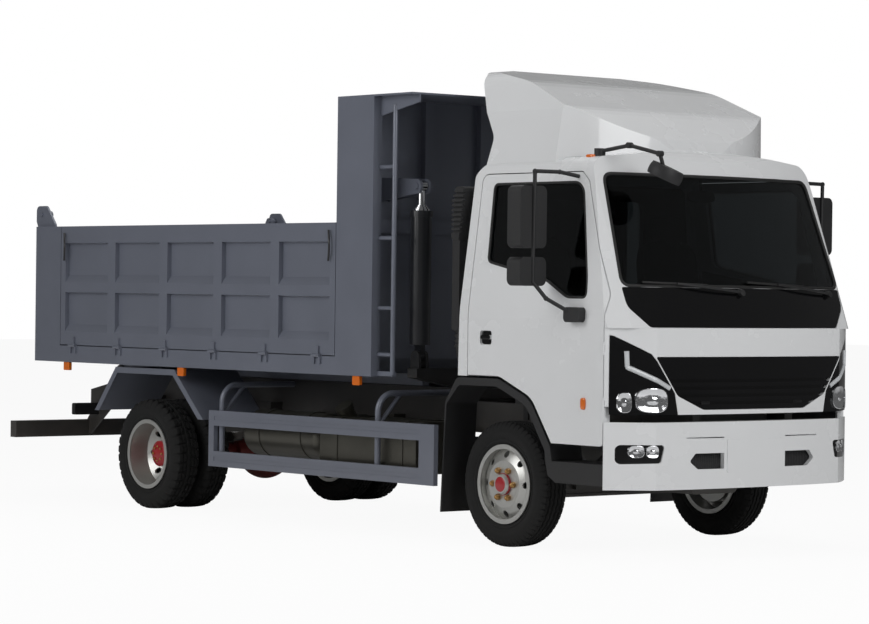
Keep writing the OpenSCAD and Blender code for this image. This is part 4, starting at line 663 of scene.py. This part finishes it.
BACKING_X, BACKING_THICK = 1.1632, 0.0022
across_y, up_z = np.meshgrid(np.linspace(0.315, 0.435, 8), np.linspace(0.880, 0.950, 8), indexing="ij")
for name, side in SIDES:
    sheet = slab(np.stack([FRONT_AXLE + BACKING_X + 0 * across_y, side * across_y, up_z], -1),
                 (BACKING_THICK, 0, 0))
    piece(f"grille_backing_{name}", sheet, "cab", black_moulding, across=True)

# Tail lamps: a black moulded housing on each arm of the rear bar, with a red acrylic lens welded onto its
# back.

# distance from the middle, height, half width, half height, rise
TAIL_LENS = (0.552, 0.646, 0.102, 0.038, 0.006)
tail_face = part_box("tail_lamps")[0][0]


def on_tail(y, z, out):
    """A point on the back of a tail lamp: x is the housing's rear face, less the height off it."""
    return np.stack([tail_face - out, y, z + 0 * out], -1)


dress(black_moulding, "tail_lamps")
lens_red = finish("lens_red", (0.42, 0.012, 0.012), 0.22, coat=0.6, bump=0.2, grain=150)
for name, side in SIDES:
    lens = pad(side * TAIL_LENS[0], *TAIL_LENS[1:], on_tail, 0.3)
    piece(f"tail_lens_{name}", lens, "chassis", lens_red, around=True)

# Bumper inserts: black mesh, moulded in one piece and clipped into the bumper from behind, across its two
# lower mouths. A product of two slanted sine waves is its weave.

MESH_SUNK, MESH_THICK, WEAVE_HEIGHT, WEAVE_RATE = 0.036, 0.008, 0.003, 420
across_y, up_z = np.meshgrid(np.linspace(0.250, 0.545, 60), np.linspace(0.522, 0.632, 30), indexing="ij")
weave = WEAVE_HEIGHT * (np.sin(across_y * WEAVE_RATE + up_z * WEAVE_RATE)
                        * np.sin(across_y * WEAVE_RATE - up_z * WEAVE_RATE))
mesh_x = front_skin(across_y, BUMPER_NOSE) - MESH_SUNK + weave
for name, side in SIDES:
    insert = slab(np.stack([mesh_x, side * across_y, up_z], -1), (-MESH_THICK, 0, 0))
    piece(f"bumper_mesh_{name}", insert, "chassis", black_moulding, across=True)

# Drop-side latches: round steel bar, bent to a shallow bow and painted black, one at each end of a drop
# side.

LATCH_ENDS, LATCH_TOP, LATCH_LENGTH = (-2.600, 0.575), 1.965, 0.20
LATCH_Y, LATCH_R, LATCH_BOW, LATCH_LIFT = 1.134, 0.007, 0.020, 0.010
t = np.linspace(0, 1, 20)
bow = np.sin(np.pi * t)
for name, side in SIDES:
    bars = [tube(np.stack([x + LATCH_BOW * bow, side * (LATCH_Y + LATCH_LIFT * bow),
                           LATCH_TOP - LATCH_LENGTH * t], -1), LATCH_R) for x in LATCH_ENDS]
    piece(f"latches_{name}", bars[0], f"drop_side_{name}", chassis_black, across=True, extra=bars[1:])

# Floor, light and camera: a pale studio floor, large soft lamps above, at the side and in front, and the
# camera at the photograph's place and lens.

FLOOR_HALF, FLOOR_GLOW, AMBIENT = 60.0, 0.94, 0.12
PHOTO_WIDTH, FOCAL_PIXELS, SENSOR_WIDTH = 869, 3045.1, 36.0
CAMERA_PLACE = (16.358, -13.292, 1.5785)
mesh = bpy.data.meshes.new("studio_floor")
corners = [(FLOOR_HALF * x, FLOOR_HALF * y, 0) for x, y in ((-1, -1), (1, -1), (1, 1), (-1, 1))]
mesh.from_pydata(corners, [], [(0, 1, 2, 3)])
studio_floor = bpy.data.objects.new("studio_floor", mesh)
bpy.context.scene.collection.objects.link(studio_floor)


def seen_directly(tree):
    """1 for rays that show the background: from the camera or through glass."""
    path = tree.nodes.new("ShaderNodeLightPath")
    either = tree.nodes.new("ShaderNodeMath")
    either.operation = "MAXIMUM"
    tree.links.new(path.outputs["Is Camera Ray"], either.inputs[0])
    tree.links.new(path.outputs["Is Transmission Ray"], either.inputs[1])
    return either.outputs["Value"]


floor_paint = bpy.data.materials.new("floor_paint")
floor_paint.use_nodes = True
tree = floor_paint.node_tree
tree.nodes.remove(tree.nodes["Principled BSDF"])
matt = tree.nodes.new("ShaderNodeBsdfDiffuse")
matt.inputs["Color"].default_value = (0.86, 0.86, 0.86, 1)
glow = tree.nodes.new("ShaderNodeEmission")
glow.inputs["Color"].default_value = (1, 1, 1, 1)
glow_share = tree.nodes.new("ShaderNodeMath")
glow_share.operation = "MULTIPLY"
glow_share.inputs[1].default_value = FLOOR_GLOW
tree.links.new(seen_directly(tree), glow_share.inputs[0])
blend = tree.nodes.new("ShaderNodeMixShader")
tree.links.new(glow_share.outputs["Value"], blend.inputs["Fac"])
tree.links.new(matt.outputs["BSDF"], blend.inputs[1])
tree.links.new(glow.outputs["Emission"], blend.inputs[2])
tree.links.new(blend.outputs["Shader"], tree.nodes["Material Output"].inputs["Surface"])
mesh.materials.append(floor_paint)

scene = bpy.context.scene
world = bpy.data.worlds.new("studio")
scene.world = world
world.use_nodes = True
tree = world.node_tree
sky = tree.nodes["Background"]
strength = tree.nodes.new("ShaderNodeMapRange")
strength.inputs["To Min"].default_value = AMBIENT
strength.inputs["To Max"].default_value = 1.0
tree.links.new(seen_directly(tree), strength.inputs["Value"])
sky.inputs["Color"].default_value = (1, 1, 1, 1)
tree.links.new(strength.outputs["Result"], sky.inputs["Strength"])


def soft_lamp(name, place, aim, size, watts):
    """A square area lamp that faces a point."""
    lamp = bpy.data.lights.new(name, "AREA")
    lamp.size = size
    lamp.energy = watts
    held = bpy.data.objects.new(name, lamp)
    held.location = place
    held.rotation_euler = (Vector(aim) - Vector(place)).to_track_quat("-Z", "Y").to_euler()
    scene.collection.objects.link(held)


# each lamp: its place, its aim, its size and its watts
soft_lamp("side_softbox", (0.0, -9.0, 5.0), (0.0, 0.0, 1.2), 6.0, 350)
soft_lamp("front_softbox", (11.0, -1.0, 5.0), (2.0, 0.0, 1.4), 5.0, 350)
soft_lamp("top_softbox", (0.0, 1.0, 9.0), (0.0, 0.0, 1.0), 7.0, 290)

camera = bpy.data.cameras.new("photo_camera")
camera.sensor_width = SENSOR_WIDTH
camera.lens = FOCAL_PIXELS / PHOTO_WIDTH * SENSOR_WIDTH
camera.clip_end = 200.0
azimuth, elevation, roll = np.radians([50.380, 0.403, 0.739])
away = Vector((np.sin(azimuth) * np.cos(elevation), -np.cos(azimuth) * np.cos(elevation), np.sin(elevation)))
level = Vector((np.cos(azimuth), np.sin(azimuth), 0))
upright = away.cross(level)
right = np.cos(roll) * level + np.sin(roll) * upright
above = np.cos(roll) * upright - np.sin(roll) * level
shot = bpy.data.objects.new("photo_camera", camera)
facing = Matrix((right, above, away)).transposed().to_4x4()
shot.matrix_world = Matrix.Translation(CAMERA_PLACE) @ facing
scene.collection.objects.link(shot)
scene.camera = shot
scene.view_settings.view_transform = "Standard"
